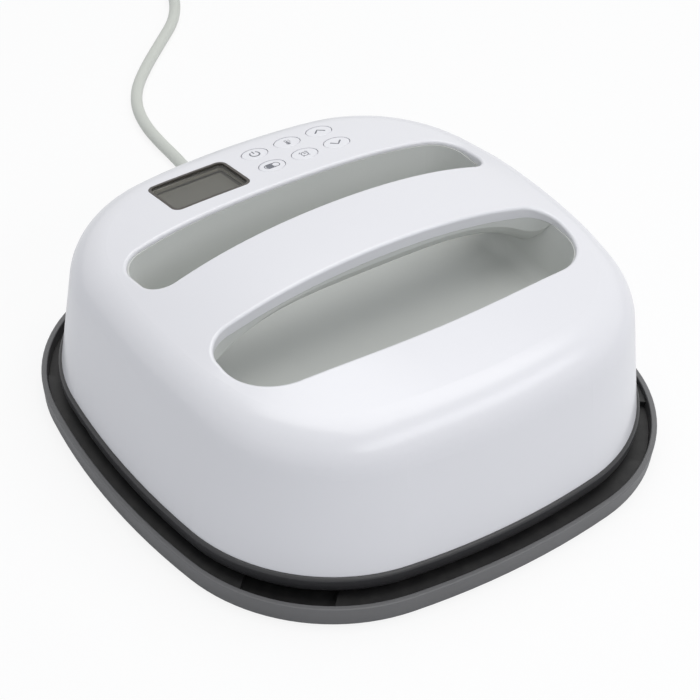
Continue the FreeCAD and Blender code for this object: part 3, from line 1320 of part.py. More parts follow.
def heat_sink():
    """Finned sink with the triac that switches the heater."""
    x, y = "(sizes.power_x - 30)", "(sizes.power_y + 12)"
    web = block(x, y, BOARD_TOP, "30", "sizes.sink_web", "sizes.sink_high")
    fins = [web]
    for number in range(6):
        fin_x = f"{x} - 15 + sizes.sink_fin / 2 + {number} * (30 - sizes.sink_fin) / 5"
        fins.append(block(fin_x, f"{y} + 4", BOARD_TOP, "sizes.sink_fin", "8", "sizes.sink_high"))
    node("heat_sink", fuse(*fins))
    front = f"{y} - sizes.sink_web / 2 - 2.3"
    body = block(x, front, f"{BOARD_TOP} + 4", "10", "4.6", "9")
    legs = [block(f"{x} + {step} * 2.5", front, BOARD_TOP, "0.8", "0.6", "4.5") for step in (-1, 0, 1)]
    node("triac", fuse(body, *legs))


def mains_fuse():
    x, y = "(sizes.power_x + 43)", "(sizes.power_y + 8)"
    tube_z = f"({BOARD_TOP} + 5)"
    glass = along_y(x, f"{y} - 10", tube_z, "2.6", "20")
    clips = [block(x, f"{y} + {end}", BOARD_TOP, "7", "4", "8") for end in (-9, 9)]
    bores = [along_y(x, f"{y} - 12", tube_z, "2.6", "24")]
    node("mains_fuse", glass)
    node("fuse_holders", cut(fuse(*clips), *bores))


# %% Cord entry, leads inside
def clamp_places():
    return [(f"sizes.cord_x {sign} sizes.clamp_pitch / 2", "sizes.clamp_y") for sign in ("+", "-")]


def cord_clamp():
    shield_top = "(sizes.shield_z + sizes.shield_thick)"
    wide = "sizes.clamp_pitch + 8"
    saddle_high = f"sizes.cord_z - {shield_top} - 0.3"
    saddle = block("sizes.cord_x", "sizes.clamp_y", shield_top, wide, "8", saddle_high)
    strap = block("sizes.cord_x", "sizes.clamp_y", "sizes.cord_z + 0.3", wide, "8", "sizes.cord_radius + 2.2")
    cord_bore = "sizes.cord_radius + sizes.thread_gap"
    bore = along_y("sizes.cord_x", "sizes.clamp_y - 10", "sizes.cord_z", cord_bore, "20")
    hole_size = ("sizes.shield_z", "sizes.small_screw + sizes.thread_gap", "20")
    holes = [rod(x, y, *hole_size) for x, y in clamp_places()]
    node("cord_clamp", cut(group(saddle, strap), bore, *holes))
    seat = "(sizes.cord_z + 0.3 + sizes.cord_radius + 2.2)"
    screws = [screw(x, y, seat, f"{seat} - sizes.shield_z", False, True) for x, y in clamp_places()]
    node("clamp_screws", group(*screws))


def strain_relief():
    """Flange inside the shell, collar outside, and a tapered boot with ribs."""
    wall = "(sizes.press_half_y - 3.4)"
    flange = along_y("sizes.cord_x", f"{wall} - 6.6", "sizes.cord_z", "sizes.boot_flange", "2.4")
    neck = along_y("sizes.cord_x", f"{wall} - 4.5", "sizes.cord_z", "sizes.boot_root_radius", "6.6")
    collar = along_y("sizes.cord_x", f"{wall} + 2", "sizes.cord_z", "sizes.boot_root_radius + 1.2", "1.8")
    cone = doc.addObject("Part::Cone", "Boot")
    bind(cone, Radius1="sizes.boot_root_radius - 1.4", Radius2="sizes.boot_tip_radius - 0.6")
    bind(cone, Height=f"sizes.boot_tip_y - {wall} - 2")
    at(cone, "sizes.cord_x", f"{wall} + 2", "sizes.cord_z")
    cone.Placement = Placement(cone.Placement.Base, Rotation(Vector(1, 0, 0), -90))
    ribs = []
    pitch = f"(sizes.boot_tip_y - {wall} - 3.8) / sizes.boot_ribs"
    step = "(sizes.boot_root_radius - sizes.boot_tip_radius) / (sizes.boot_ribs - 1)"
    for number in range(int(size("boot_ribs"))):
        y = f"{wall} + 3.8 + {number} * {pitch}"
        radius = f"sizes.boot_root_radius - {number} * {step}"
        ribs.append(along_y("sizes.cord_x", y, "sizes.cord_z", radius, f"{pitch} - sizes.boot_groove"))
    cord_bore = "sizes.cord_radius + sizes.thread_gap"
    bore = along_y("sizes.cord_x", f"{wall} - 20", "sizes.cord_z", cord_bore, "80")
    node("strain_relief", cut(fuse(flange, neck, collar, cone, *ribs), bore))


def inner_leads():
    """The cord's end in its clamp, and the leads inside the housing."""
    inner_y = "(sizes.clamp_y - 10)"
    long = f"sizes.boot_tip_y - {inner_y}"
    node("cord_entry", along_y("sizes.cord_x", inner_y, "sizes.cord_z", "sizes.cord_radius", long))
    right, behind, wide, deep, _ = TERMINALS
    block_x = size("power_x") + right
    block_y = size("power_y") + behind
    face_x = block_x + wide / 2
    face_y = block_y - deep / 2
    lead_z = size_of(BOARD_TOP) + 6
    end_y = size_of(inner_y)
    cord_z = size("cord_z")
    wires = []
    for step in (-1, 0, 1):
        x = size("cord_x") + 2.2 * step
        y = block_y + 2.8 * step
        path = ((x, end_y, cord_z), (x, end_y - 10, cord_z), (x - 6, y, lead_z), (face_x, y, lead_z))
        wires.append(lead(path, 1.0, 3.0))
    node("mains_leads", group(*wires))
    end_x = size("heater_run") + size("heater_rise")
    end_y = 2 * size("heater_pitch")
    low_z = size("heater_top_z") + size("bush_height")
    left = (
        (-end_x, -end_y, low_z),
        (-end_x, -end_y, lead_z),
        (block_x - 3, face_y - 24, lead_z),
        (block_x - 3, face_y, lead_z),
    )
    right = (
        (end_x, end_y, low_z),
        (end_x, end_y, lead_z),
        (block_x + 20, face_y - 16, lead_z),
        (block_x + 3, face_y - 16, lead_z),
        (block_x + 3, face_y, lead_z),
    )
    node("heater_leads", group(lead(left, 1.3, 6.0), lead(right, 1.3, 6.0)))
    right, behind, _, deep, tall = PROBE_SOCKET
    socket_x = size("power_x") + right
    socket_y = size("power_y") + behind - deep / 2
    socket_z = size_of(BOARD_TOP) + tall / 2
    hole_x = size("lead_hole_x")
    row_y = size("pocket_y")
    plate_z = size_of(PLATE_TOP) + size("probe_high") / 2
    probe = (
        (size("probe_x") + 7, row_y, plate_z),
        (hole_x, row_y, plate_z),
        (hole_x, row_y, socket_z),
        (socket_x, socket_y - 20, socket_z),
        (socket_x, socket_y, socket_z),
    )
    node("probe_lead", lead(probe, 0.9, 4.0))
    right, behind, _, _, tall = RIBBON_SOCKET
    low = f"({BOARD_TOP} + {tall})"
    x, y = f"sizes.power_x + {right}", f"sizes.power_y + {behind}"
    return node("ribbon_cable", block(x, y, low, "16", "0.9", f"sizes.ribbon_top_z - {low}"))


# %% Mains cord on the table, its coil and its plug
def power_cord():
    bends = free_bends(CORD_ROUTE)
    radius = size("cord_radius")
    shape = tube(CORD_ROUTE, radius, bends)
    length = tube_path(CORD_ROUTE, bends).Length
    print("cord bends", [round(bend, 1) for bend in bends])
    share = shape.Volume / (math.pi * radius**2 * length)
    print("cord tube", round(length, 1), "mm long, its volume over section times length", round(share, 4))
    node("power_cord", computed("Cord", shape))


def coil_sizes():
    """Inner radius, outer radius, lower and upper height of the coil's solid."""
    wire = 2 * size("cord_radius")
    half = size("coil_columns") * wire / 2 + size("coil_slack")
    high = size("coil_layers") * wire
    return size("coil_mean") - half, size("coil_mean") + half, size("coil_lift"), size("coil_lift") + high


def cord_coil():
    inner, outer, low, high = coil_sizes()
    ring = cut(
        rod("sizes.coil_x", "sizes.coil_y", str(low), str(outer), str(high - low)),
        rod("sizes.coil_x", "sizes.coil_y", str(low), str(inner), str(high - low)),
    )
    node("cord_coil", rounded(ring, size("cord_radius") - 0.5, lambda edge: edge.BoundBox.ZLength < 0.1))
    width = outer - inner + 2 * size("tie_gap")
    thick = size("tie_thick")
    middle_x = "sizes.coil_x - sizes.coil_mean"
    around_size = (str(width + 2 * thick), "sizes.tie_wide", str(high - low + 2 * thick))
    around = block(middle_x, "sizes.coil_y", str(low - thick), *around_size)
    room = block(middle_x, "sizes.coil_y", str(low), str(width), "2 * sizes.tie_wide", str(high - low))
    node("cord_tie", placed(group(cut(around, room)), tie_place()))


def tie_place():
    """The tie sits a third of a turn round the coil."""
    middle = Vector(size("coil_x"), size("coil_y"), 0)
    return Placement(Vector(), Rotation(Vector(0, 0, 1), size("tie_angle")), middle)


def tail_route():
    """From the coil's last turn to the plug, which lies on the table."""
    layer = size("coil_lift") + (2 * size("coil_layers") - 1) * size("cord_radius")
    plug_z = size("plug_radius") + size("plug_lift")
    x = size("coil_x") + size("coil_mean") + size("cord_radius")
    y = size("coil_y")
    long = size("tail_length")
    return ((x, y, layer), (x, y - 0.3 * long, layer), (x, y - 0.7 * long, plug_z), (x, y - long, plug_z))


def plug_body(place):
    """The turned body of the plug: a stem that widens to a round head."""
    head_start = size("plug_length") - size("plug_head")
    radius = size("plug_radius")
    profile = (
        (0, 0),
        (size("plug_stem"), 0),
        (size("plug_stem") + 1.2, 3),
        (size("plug_stem") + 3.3, head_start - 8),
        (radius - 2.5, head_start),
        (radius, head_start + 2.5),
        (radius, size("plug_length")),
        (0, size("plug_length")),
    )
    body = doc.addObject("PartDesign::Body", "Plug")
    sketch = body.newObject("Sketcher::SketchObject", "Profile")
    plane = [f for f in body.Origin.OriginFeatures if f.Role == "XY_Plane"][0]
    sketch.AttachmentSupport = (plane, [""])
    sketch.MapMode = "FlatFace"
    spots = [Vector(across, along, 0) for across, along in profile]
    for spot, after in zip(spots, spots[1:] + spots[:1]):
        sketch.addGeometry(Part.LineSegment(spot, after), False)
    for index, spot in enumerate(spots):
        sketch.addConstraint(Sketcher.Constraint("Coincident", index, 2, (index + 1) % len(spots), 1))
        sketch.addConstraint(Sketcher.Constraint("DistanceX", -1, 1, index, 1, spot.x))
        sketch.addConstraint(Sketcher.Constraint("DistanceY", -1, 1, index, 1, spot.y))
    turned = body.newObject("PartDesign::Revolution", "Revolution")
    turned.Profile = sketch
    turned.ReferenceAxis = (sketch, ["V_Axis"])
    turned.Angle = 360
    body.Placement = Placement(place, Rotation(Vector(0, 0, 1), 180))
    return body


def plug():
    route = tail_route()
    node("cord_tail", computed("Tail", tube(route, size("cord_radius"), free_bends(route))))
    place = Vector(*route[-1])
    pins = []
    bores = []
    pin_y = place.y - size("plug_length") - size("pin_length")
    for side in (-1, 1):
        spot = (str(place.x + side * size("pin_half_pitch")), str(pin_y), str(place.z))
        pins.append(along_y(*spot, "sizes.pin_radius", "sizes.pin_length + sizes.pin_root"))
        bores.append(along_y(*spot, "sizes.pin_radius", "sizes.pin_length + sizes.pin_root"))
    node("plug_body", cut(plug_body(place), *bores))
    node("plug_pins", group(*pins))


# %% Build
def build():
    tray_shell()
    tray_liner()
    tray_small_parts()
    lower_housing()
    housing_screws()
    heat_plate()
    heater()
    insulation()
    heat_shield()
    standoffs()
    probe_and_fuse()
    plate_screws()
    top_shell()
    hand_tub()
    handle_underside()
    tub_screws()
    display()
    for label, column, row in KEYS:
        key(label, column, row)
    control_board()
    power_board()
    board_screws()
    heat_sink()
    mains_fuse()
    cord_clamp()
    strain_relief()
    inner_leads()
    power_cord()
    cord_coil()
    plug()
    doc.recompute()


def check():
    """Stop if an object failed, or a sub-part is missing, broken or not solid."""
    for thing in doc.Objects:
        if "Invalid" in thing.State or "Error" in thing.State:
            raise RuntimeError(f"{thing.Label} failed: {thing.State}")
    for part in nodes:
        shape = part.Shape
        if shape.isNull() or not shape.isValid() or not shape.Solids:
            raise RuntimeError(f"{part.Label} has no valid solid")
        print(f"{part.Label}: {len(shape.Solids)} solids, {shape.Volume / 1000:.2f} cm3")


def export():
    os.makedirs("parts", exist_ok=True)
    for part in nodes:
        part.Shape.exportStep(f"parts/{part.Label}.step")


build()
check()
export()
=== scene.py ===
# %% [markdown]
# # A handheld heat press on its safety base
# The press is a white rounded square with a grab handle that bridges a grey-green finger tub.  A display
# and six keys sit behind the handle.  The press rests in a low dark base, and its mains cord leaves at
# the back.  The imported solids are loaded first: they give every place, size and moving body.  This lesson
# adds finishes, light, a camera, and softer or finer forms where a plain solid is not enough.

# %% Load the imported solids
import bpy
import bmesh
import json
import math
from mathutils import Matrix, Vector


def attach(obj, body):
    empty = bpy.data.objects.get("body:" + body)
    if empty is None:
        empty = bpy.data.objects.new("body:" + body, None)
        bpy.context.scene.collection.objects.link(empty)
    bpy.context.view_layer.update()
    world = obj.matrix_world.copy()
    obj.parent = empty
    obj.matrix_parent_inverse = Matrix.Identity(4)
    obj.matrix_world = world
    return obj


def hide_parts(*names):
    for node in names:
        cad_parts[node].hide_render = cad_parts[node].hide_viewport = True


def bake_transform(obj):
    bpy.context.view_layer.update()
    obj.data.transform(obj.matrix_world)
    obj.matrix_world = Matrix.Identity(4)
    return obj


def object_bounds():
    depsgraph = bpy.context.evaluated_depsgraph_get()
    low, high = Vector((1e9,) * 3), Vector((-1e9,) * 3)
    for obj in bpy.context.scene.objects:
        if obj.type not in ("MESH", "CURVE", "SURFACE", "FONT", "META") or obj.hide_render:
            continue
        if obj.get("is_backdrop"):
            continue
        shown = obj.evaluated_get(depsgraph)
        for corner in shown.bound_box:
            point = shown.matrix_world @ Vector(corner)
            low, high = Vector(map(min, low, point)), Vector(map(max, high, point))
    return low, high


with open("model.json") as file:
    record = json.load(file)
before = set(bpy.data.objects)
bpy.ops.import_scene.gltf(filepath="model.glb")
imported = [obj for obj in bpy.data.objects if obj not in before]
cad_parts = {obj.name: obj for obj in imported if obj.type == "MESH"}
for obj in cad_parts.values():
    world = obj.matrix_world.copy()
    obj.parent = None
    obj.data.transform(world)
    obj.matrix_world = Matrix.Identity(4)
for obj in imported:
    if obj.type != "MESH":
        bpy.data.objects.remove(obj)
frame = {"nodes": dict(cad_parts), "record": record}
nodes = frame["nodes"]
low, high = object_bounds()

# %% [markdown]
# ## Camera
# The view is from the front left and above, with a long lens, so the sides stay nearly parallel.  A
# camera is placed by its position and by three axes: right, up, and back towards the eye.  They are the
# columns of its matrix.

# %% Camera
IMAGE = 700
FOCAL_PIXELS = 2265.55
SENSOR = 36.0
camera_data = bpy.data.cameras.new("camera")
camera_data.sensor_width = SENSOR
camera_data.sensor_fit = "HORIZONTAL"
camera_data.lens = FOCAL_PIXELS * SENSOR / IMAGE
camera_data.clip_end = 20
camera = bpy.data.objects.new("camera", camera_data)
bpy.context.scene.collection.objects.link(camera)
right = Vector((0.82318163, -0.56696234, 0.03042543))
up = Vector((0.34489802, 0.54189199, 0.76641923))
back = Vector((-0.45101814, -0.62040856, 0.64161972))
camera.matrix_world = Matrix.Translation((-0.547465, -0.754677, 0.817165)) @ Matrix(
    (right, up, back)
).transposed().to_4x4()
bpy.context.scene.camera = camera
print("lens", round(camera_data.lens, 1), "mm")

# %% [markdown]
# ## The mains cord
# The cord leaves the strain relief, drops to the table and runs back.  Its spare length is wound into a
# coil with a tie, and it ends in a plug.  The route is one smooth spline, guided by listed points
# and, in the coil, by points from a loop.  A tube is swept along it as a mesh.

# %% The cord's route
MM = 0.001
CORD_RADIUS = 3.75
ROUTE = (
    (34.0, 161.0, 36.0),
    (34.0, 173.8, 36.0),
    (34.1, 186.2, 32.2),
    (34.4, 196.9, 25.0),
    (34.9, 205.1, 14.9),
    (35.9, 215.8, 7.6),
    (37.4, 228.2, 3.85),
    (38.5, 243.5, 3.85),
    (38.6, 262.0, 3.85),
    (40.3, 283.0, 3.85),
    (46.3, 304.3, 3.85),
    (57.5, 323.0, 3.85),
    (75.0, 341.0, 3.85),
    (99.0, 362.0, 3.85),
    (122.0, 382.0, 3.85),
    (137.5, 408.0, 4.2),
    (143.25, 438.0, 5.05),
)
COIL_MIDDLE = (188.0, 468.0)
COIL_LOW = 5.05
OUTER_TURN = 44.75
INNER_TURN = 37.25
# Each turn's place: its radius, and its layer above the lowest.
TURNS = (
    (OUTER_TURN, 0),
    (INNER_TURN, 0),
    (INNER_TURN, 1),
    (OUTER_TURN, 1),
    (INNER_TURN, 2),
    (OUTER_TURN, 2),
)
WOUND_TURNS = 5.5
POINTS_PER_TURN = 16
# A spline runs inside its control points, so these lie a little further out than the turn.
OUTWARD = 1 / math.cos(math.pi / POINTS_PER_TURN)
CHANGE_STARTS = (0.80, 0.73, 0.66, 0.57, 0.50)
CHANGE_SHARE = 0.20
TAIL = ((232.75, 456.6, 20.05), (232.75, 441.4, 18.1), (232.75, 430.0, 18.1))


def ease(value):
    value = min(1.0, max(0.0, value))
    return value * value * (3 - 2 * value)


def coil_points():
    """Control points of the wound length; a turn changes place late in its round, the last one first."""
    points = []
    for step in range(int(WOUND_TURNS * POINTS_PER_TURN) + 1):
        turn, share = divmod(step / POINTS_PER_TURN, 1.0)
        turn = int(turn)
        radius, layer = TURNS[turn]
        if turn + 1 < len(TURNS):
            moved = ease((share - CHANGE_STARTS[turn]) / CHANGE_SHARE)
            radius += (TURNS[turn + 1][0] - radius) * moved
            layer += (TURNS[turn + 1][1] - layer) * moved
        angle = math.pi - 2 * math.pi * share
        x = COIL_MIDDLE[0] + OUTWARD * radius * math.cos(angle)
        y = COIL_MIDDLE[1] + OUTWARD * radius * math.sin(angle)
        points.append((x, y, COIL_LOW + 2 * CORD_RADIUS * layer))
    return points


def smooth_line(name, points):
    """The points of a smooth spline, read back from a curve without thickness."""
    curve = bpy.data.curves.new(name, "CURVE")
    curve.dimensions = "3D"
    spline = curve.splines.new("NURBS")
    spline.points.add(len(points) - 1)
    for spot, point in zip(spline.points, points):
        spot.co = (point[0] * MM, point[1] * MM, point[2] * MM, 1)
    spline.order_u = 3
    spline.use_endpoint_u = True
    curve.resolution_u = 8
    holder = bpy.data.objects.new(name, curve)
    flat = bpy.data.meshes.new_from_object(holder)
    line = [vertex.co.copy() for vertex in flat.vertices]
    bpy.data.objects.remove(holder)
    return line


def swept_tube(name, line, radius, sides=24):
    """A round tube along a line, its rings turned as little as possible from one to the next."""
    mesh = bpy.data.meshes.new(name)
    form = bmesh.new()
    rings = []
    side = None
    for index, spot in enumerate(line):
        before = line[max(index - 1, 0)]
        after = line[min(index + 1, len(line) - 1)]
        along = (after - before).normalized()
        if side is None:
            side = along.orthogonal().normalized()
        side = (side - along * side.dot(along)).normalized()
        other = along.cross(side)
        ring = []
        for step in range(sides):
            angle = 2 * math.pi * step / sides
            ring.append(form.verts.new(spot + radius * (math.cos(angle) * side + math.sin(angle) * other)))
        rings.append(ring)
    for ring, following in zip(rings, rings[1:]):
        for step in range(sides):
            after = (step + 1) % sides
            form.faces.new((ring[step], ring[after], following[after], following[step]))
    form.faces.new(list(reversed(rings[0])))
    form.faces.new(rings[-1])
    for face in form.faces:
        face.smooth = len(face.verts) == 4
    form.to_mesh(mesh)
    form.free()
    tube = bpy.data.objects.new(name, mesh)
    bpy.context.scene.collection.objects.link(tube)
    return tube


cord_line = smooth_line("cord_route", [*ROUTE, *coil_points(), *TAIL])
cord = swept_tube("cord", cord_line, CORD_RADIUS * MM)
length = sum((b - a).length for a, b in zip(cord_line, cord_line[1:]))
print("cord", round(length, 3), "m along", len(cord_line), "points")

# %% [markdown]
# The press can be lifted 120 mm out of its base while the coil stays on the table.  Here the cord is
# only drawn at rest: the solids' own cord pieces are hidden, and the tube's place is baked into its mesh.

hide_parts("power_cord", "cord_coil", "cord_tail")
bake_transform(cord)

# %% [markdown]
# ## Floor, world and lamps
# A pale floor catches the shadow.  To the camera it is partly paper white of its own, so that it joins
# the white backdrop and the shadow stays faint; all other light sees a plain matt floor.  The world is
# white only where the camera, a mirror or clear glass looks at it; the light that it gives is a soft
# grey.  One large lamp above and two fill lamps model the rounded form.

# %% Floor
def new_material(name):
    """A material with its Principled shader and an output."""
    material = bpy.data.materials.new(name)
    material.use_nodes = True
    return material, material.node_tree, material.node_tree.nodes["Principled BSDF"]


def link(tree, source, target):
    tree.links.new(source, target)


REACH = 6.0
# The floor lies a hair below the table plane, clear of the feet that stand on it.
FLOOR_Z = -0.0003
FLOOR_TONE = 0.90
PAPER_SHARE = 0.86
floor_mesh = bpy.data.meshes.new("floor")
floor_mesh.from_pydata(
    [(-REACH, -REACH, 0), (REACH, -REACH, 0), (REACH, REACH, 0), (-REACH, REACH, 0)], [], [(0, 1, 2, 3)]
)
floor = bpy.data.objects.new("floor", floor_mesh)
floor.location.z = FLOOR_Z
bpy.context.scene.collection.objects.link(floor)
floor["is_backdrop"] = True
floor_material, tree, shader = new_material("studio_floor")
shader.inputs["Base Color"].default_value = (FLOOR_TONE, FLOOR_TONE, FLOOR_TONE, 1)
shader.inputs["Roughness"].default_value = 1.0
shader.inputs["Specular IOR Level"].default_value = 0.0
paper_white = tree.nodes.new("ShaderNodeEmission")
paper_white.inputs["Color"].default_value = (1, 1, 1, 1)
paper_white.inputs["Strength"].default_value = 1.0
seen_by = tree.nodes.new("ShaderNodeLightPath")
share = tree.nodes.new("ShaderNodeMath")
share.operation = "MULTIPLY"
share.inputs[1].default_value = PAPER_SHARE
blend = tree.nodes.new("ShaderNodeMixShader")
link(tree, seen_by.outputs["Is Camera Ray"], share.inputs[0])
link(tree, share.outputs[0], blend.inputs["Fac"])
link(tree, shader.outputs[0], blend.inputs[1])
link(tree, paper_white.outputs[0], blend.inputs[2])
link(tree, blend.outputs[0], tree.nodes["Material Output"].inputs["Surface"])
floor_mesh.materials.append(floor_material)

# %% World
SOFT_LIGHT = 0.455
world = bpy.data.worlds.new("world")
bpy.context.scene.world = world
world.use_nodes = True
tree = world.node_tree
for node in list(tree.nodes):
    tree.nodes.remove(node)
output = tree.nodes.new("ShaderNodeOutputWorld")
soft_light = tree.nodes.new("ShaderNodeBackground")
soft_light.inputs["Color"].default_value = (0.92, 0.95, 1.0, 1)
soft_light.inputs["Strength"].default_value = SOFT_LIGHT
seen = tree.nodes.new("ShaderNodeBackground")
seen.inputs["Color"].default_value = (1, 1, 1, 1)
seen.inputs["Strength"].default_value = 1.0
path = tree.nodes.new("ShaderNodeLightPath")
either = tree.nodes.new("ShaderNodeMath")
either.operation = "MAXIMUM"
any_of = tree.nodes.new("ShaderNodeMath")
any_of.operation = "MAXIMUM"
mix = tree.nodes.new("ShaderNodeMixShader")
link(tree, path.outputs["Is Camera Ray"], either.inputs[0])
link(tree, path.outputs["Is Transmission Ray"], either.inputs[1])
link(tree, either.outputs[0], any_of.inputs[0])
link(tree, path.outputs["Is Glossy Ray"], any_of.inputs[1])
link(tree, any_of.outputs[0], mix.inputs["Fac"])
link(tree, soft_light.outputs[0], mix.inputs[1])
link(tree, seen.outputs[0], mix.inputs[2])
link(tree, mix.outputs[0], output.inputs["Surface"])

# %% Lamps
LAMPS = (
    # name, place, width, height, watts, colour
    ("top_lamp", (0.25, 0.10, 1.6), 1.4, 1.4, 14.0, (1.0, 0.99, 0.97)),
    ("left_lamp", (-1.5, -0.5, 0.8), 1.0, 1.0, 0.5, (0.95, 0.97, 1.0)),
    ("front_lamp", (0.40, -1.24, 1.1), 1.8, 0.45, 6.2, (0.98, 0.98, 1.0)),
)
for name, place, wide, high, watts, colour in LAMPS:
    lamp_data = bpy.data.lights.new(name, "AREA")
    lamp_data.shape = "RECTANGLE"
    lamp_data.size = wide
    lamp_data.size_y = high
    lamp_data.energy = watts
    lamp_data.color = colour
    lamp = bpy.data.objects.new(name, lamp_data)
    bpy.context.scene.collection.objects.link(lamp)
    lamp.location = place
    lamp.rotation_mode = "QUATERNION"
    lamp.rotation_quaternion = (-Vector(place)).to_track_quat("-Z", "Y")
bpy.context.scene.view_settings.view_transform = "Standard"
print("lamps:", len(LAMPS))

# %% [markdown]
# ## Effects that several finishes share
# A moulded surface has a fine grain from the mould, broad pale and dark clouds, and smudges that change
# its gloss.  Rolled and drawn metal has fine lines along one direction.  Woven mats and wool have
# threads.  Dust settles on faces that look up.  Each effect is one node group with its own numbers, so
# that it can be placed in many materials.  A group puts out only masks and heights; the shader stays in
# the material.

# %% Helpers for nodes
def add(tree, kind, **settings):
    """A shader node; names of settings are the node's own properties."""
    node = tree.nodes.new("ShaderNode" + kind)
    for name, value in settings.items():
        setattr(node, name, value)
    return node


def new_group(name, inputs, outputs):
    """A node group with number sockets; inputs give a name and a starting value."""
    group = bpy.data.node_groups.new(name, "ShaderNodeTree")
    for label, start in inputs:
        socket = group.interface.new_socket(label, in_out="INPUT", socket_type="NodeSocketFloat")
        socket.default_value = start
    for label in outputs:
        group.interface.new_socket(label, in_out="OUTPUT", socket_type="NodeSocketFloat")
    return group, group.nodes.new("NodeGroupInput"), group.nodes.new("NodeGroupOutput")


def noise(tree, where, scale, detail=2.0, distortion=0.0):
    """A noise texture; its scale is a number or an output."""
    texture = add(tree, "TexNoise")
    texture.inputs["Detail"].default_value = detail
    texture.inputs["Distortion"].default_value = distortion
    link(tree, where, texture.inputs["Vector"])
    if isinstance(scale, (int, float)):
        texture.inputs["Scale"].default_value = scale
    else:
        link(tree, scale, texture.inputs["Scale"])
    return texture.outputs["Fac"]


def spread(tree, value, low_in, high_in, low_out=0.0, high_out=1.0):
    """Map one range of a value onto another."""
    mapped = add(tree, "MapRange")
    for socket, number in zip(mapped.inputs[1:5], (low_in, high_in, low_out, high_out)):
        socket.default_value = number
    link(tree, value, mapped.inputs[0])
    return mapped.outputs[0]


def maths(tree, operation, first, second):
    """One step of arithmetic on outputs or numbers."""
    node = add(tree, "Math", operation=operation)
    for socket, value in zip(node.inputs, (first, second)):
        if isinstance(value, (int, float)):
            socket.default_value = value
        else:
            link(tree, value, socket)
    return node.outputs[0]


# %% Moulded grain
SMUDGES_PER_CLOUD = 2.7
moulded_grain, entry, result = new_group(
    "moulded_grain",
    (("Grains per metre", 2000.0), ("Clouds per metre", 12.0)),
    ("Height", "Tone", "Smudge"),
)
place = add(moulded_grain, "TexCoord").outputs["Object"]
link(moulded_grain, noise(moulded_grain, place, entry.outputs[0], 1.0), result.inputs["Height"])
clouds = noise(moulded_grain, place, entry.outputs[1], 2.0)
link(moulded_grain, spread(moulded_grain, clouds, 0.3, 0.7), result.inputs["Tone"])
smudge_scale = maths(moulded_grain, "MULTIPLY", entry.outputs[1], SMUDGES_PER_CLOUD)
smudges = noise(moulded_grain, place, smudge_scale, 2.0)
link(moulded_grain, spread(moulded_grain, smudges, 0.35, 0.65), result.inputs["Smudge"])

# %% Drawn metal, threads and dust
drawn_lines, entry, result = new_group("drawn_lines", (("Lines per metre", 1500.0),), ("Height", "Tone"))
place = add(drawn_lines, "TexCoord").outputs["Object"]
stretched = add(drawn_lines, "Mapping")
stretched.inputs["Scale"].default_value = (1.0, 0.04, 0.6)
link(drawn_lines, place, stretched.inputs["Vector"])
lines = noise(drawn_lines, stretched.outputs[0], entry.outputs[0], 3.0)
link(drawn_lines, lines, result.inputs["Height"])
stains = noise(drawn_lines, place, 25.0, 3.0, 0.4)
stained = maths(drawn_lines, "ADD", lines, stains)
link(drawn_lines, spread(drawn_lines, stained, 0.7, 1.3), result.inputs["Tone"])

woven_threads, entry, result = new_group(
    "woven_threads", (("Threads per metre", 600.0),), ("Height", "Tone")
)
place = add(woven_threads, "TexCoord").outputs["Object"]
rows = []
for direction in ("X", "Y"):
    wave = add(woven_threads, "TexWave", bands_direction=direction)
    wave.inputs["Distortion"].default_value = 0.6
    link(woven_threads, place, wave.inputs["Vector"])
    link(woven_threads, entry.outputs[0], wave.inputs["Scale"])
    rows.append(wave.outputs["Fac"])
weave = maths(woven_threads, "MULTIPLY", rows[0], rows[1])
fluff = noise(woven_threads, place, 900.0, 3.0, 1.5)
link(woven_threads, maths(woven_threads, "ADD", weave, fluff), result.inputs["Height"])
patches = maths(woven_threads, "ADD", weave, noise(woven_threads, place, 30.0, 3.0))
link(woven_threads, spread(woven_threads, patches, 0.3, 1.3), result.inputs["Tone"])

settled_dust, entry, result = new_group("settled_dust", (("Amount", 0.2),), ("Mask",))
facing = add(settled_dust, "SeparateXYZ")
link(settled_dust, add(settled_dust, "NewGeometry").outputs["Normal"], facing.inputs[0])
upward = spread(settled_dust, facing.outputs["Z"], 0.6, 1.0)
place = add(settled_dust, "TexCoord").outputs["Object"]
specks = spread(settled_dust, noise(settled_dust, place, 160.0, 5.0), 0.42, 0.72)
settled = maths(settled_dust, "MULTIPLY", maths(settled_dust, "MULTIPLY", upward, specks), entry.outputs[0])
link(settled_dust, settled, result.inputs["Mask"])
print("effects:", [group.name for group in bpy.data.node_groups])

# %% [markdown]
# ## Finishes
# Colours are written as they would be matched against a printed colour card, from 0 to 255, and turned
# into the linear numbers that a renderer works with.  Each finish mixes a darker and a lighter tone of
# its colour by the effect's clouds, lets the smudges change the gloss, and raises the grain with a bump
# in real height.

# %% Building a finish
def paint(red, green, blue):
    """Linear colour from card numbers."""
    parts = [part / 255 for part in (red, green, blue)]
    return [part / 12.92 if part <= 0.04045 else ((part + 0.055) / 1.055) ** 2.4 for part in parts]


def placed_group(tree, group, **numbers):
    """A node group in a material, with numbers for its inputs in their order."""
    node = add(tree, "Group", node_tree=group)
    for socket, number in zip(node.inputs, numbers.values()):
        socket.default_value = number
    return node


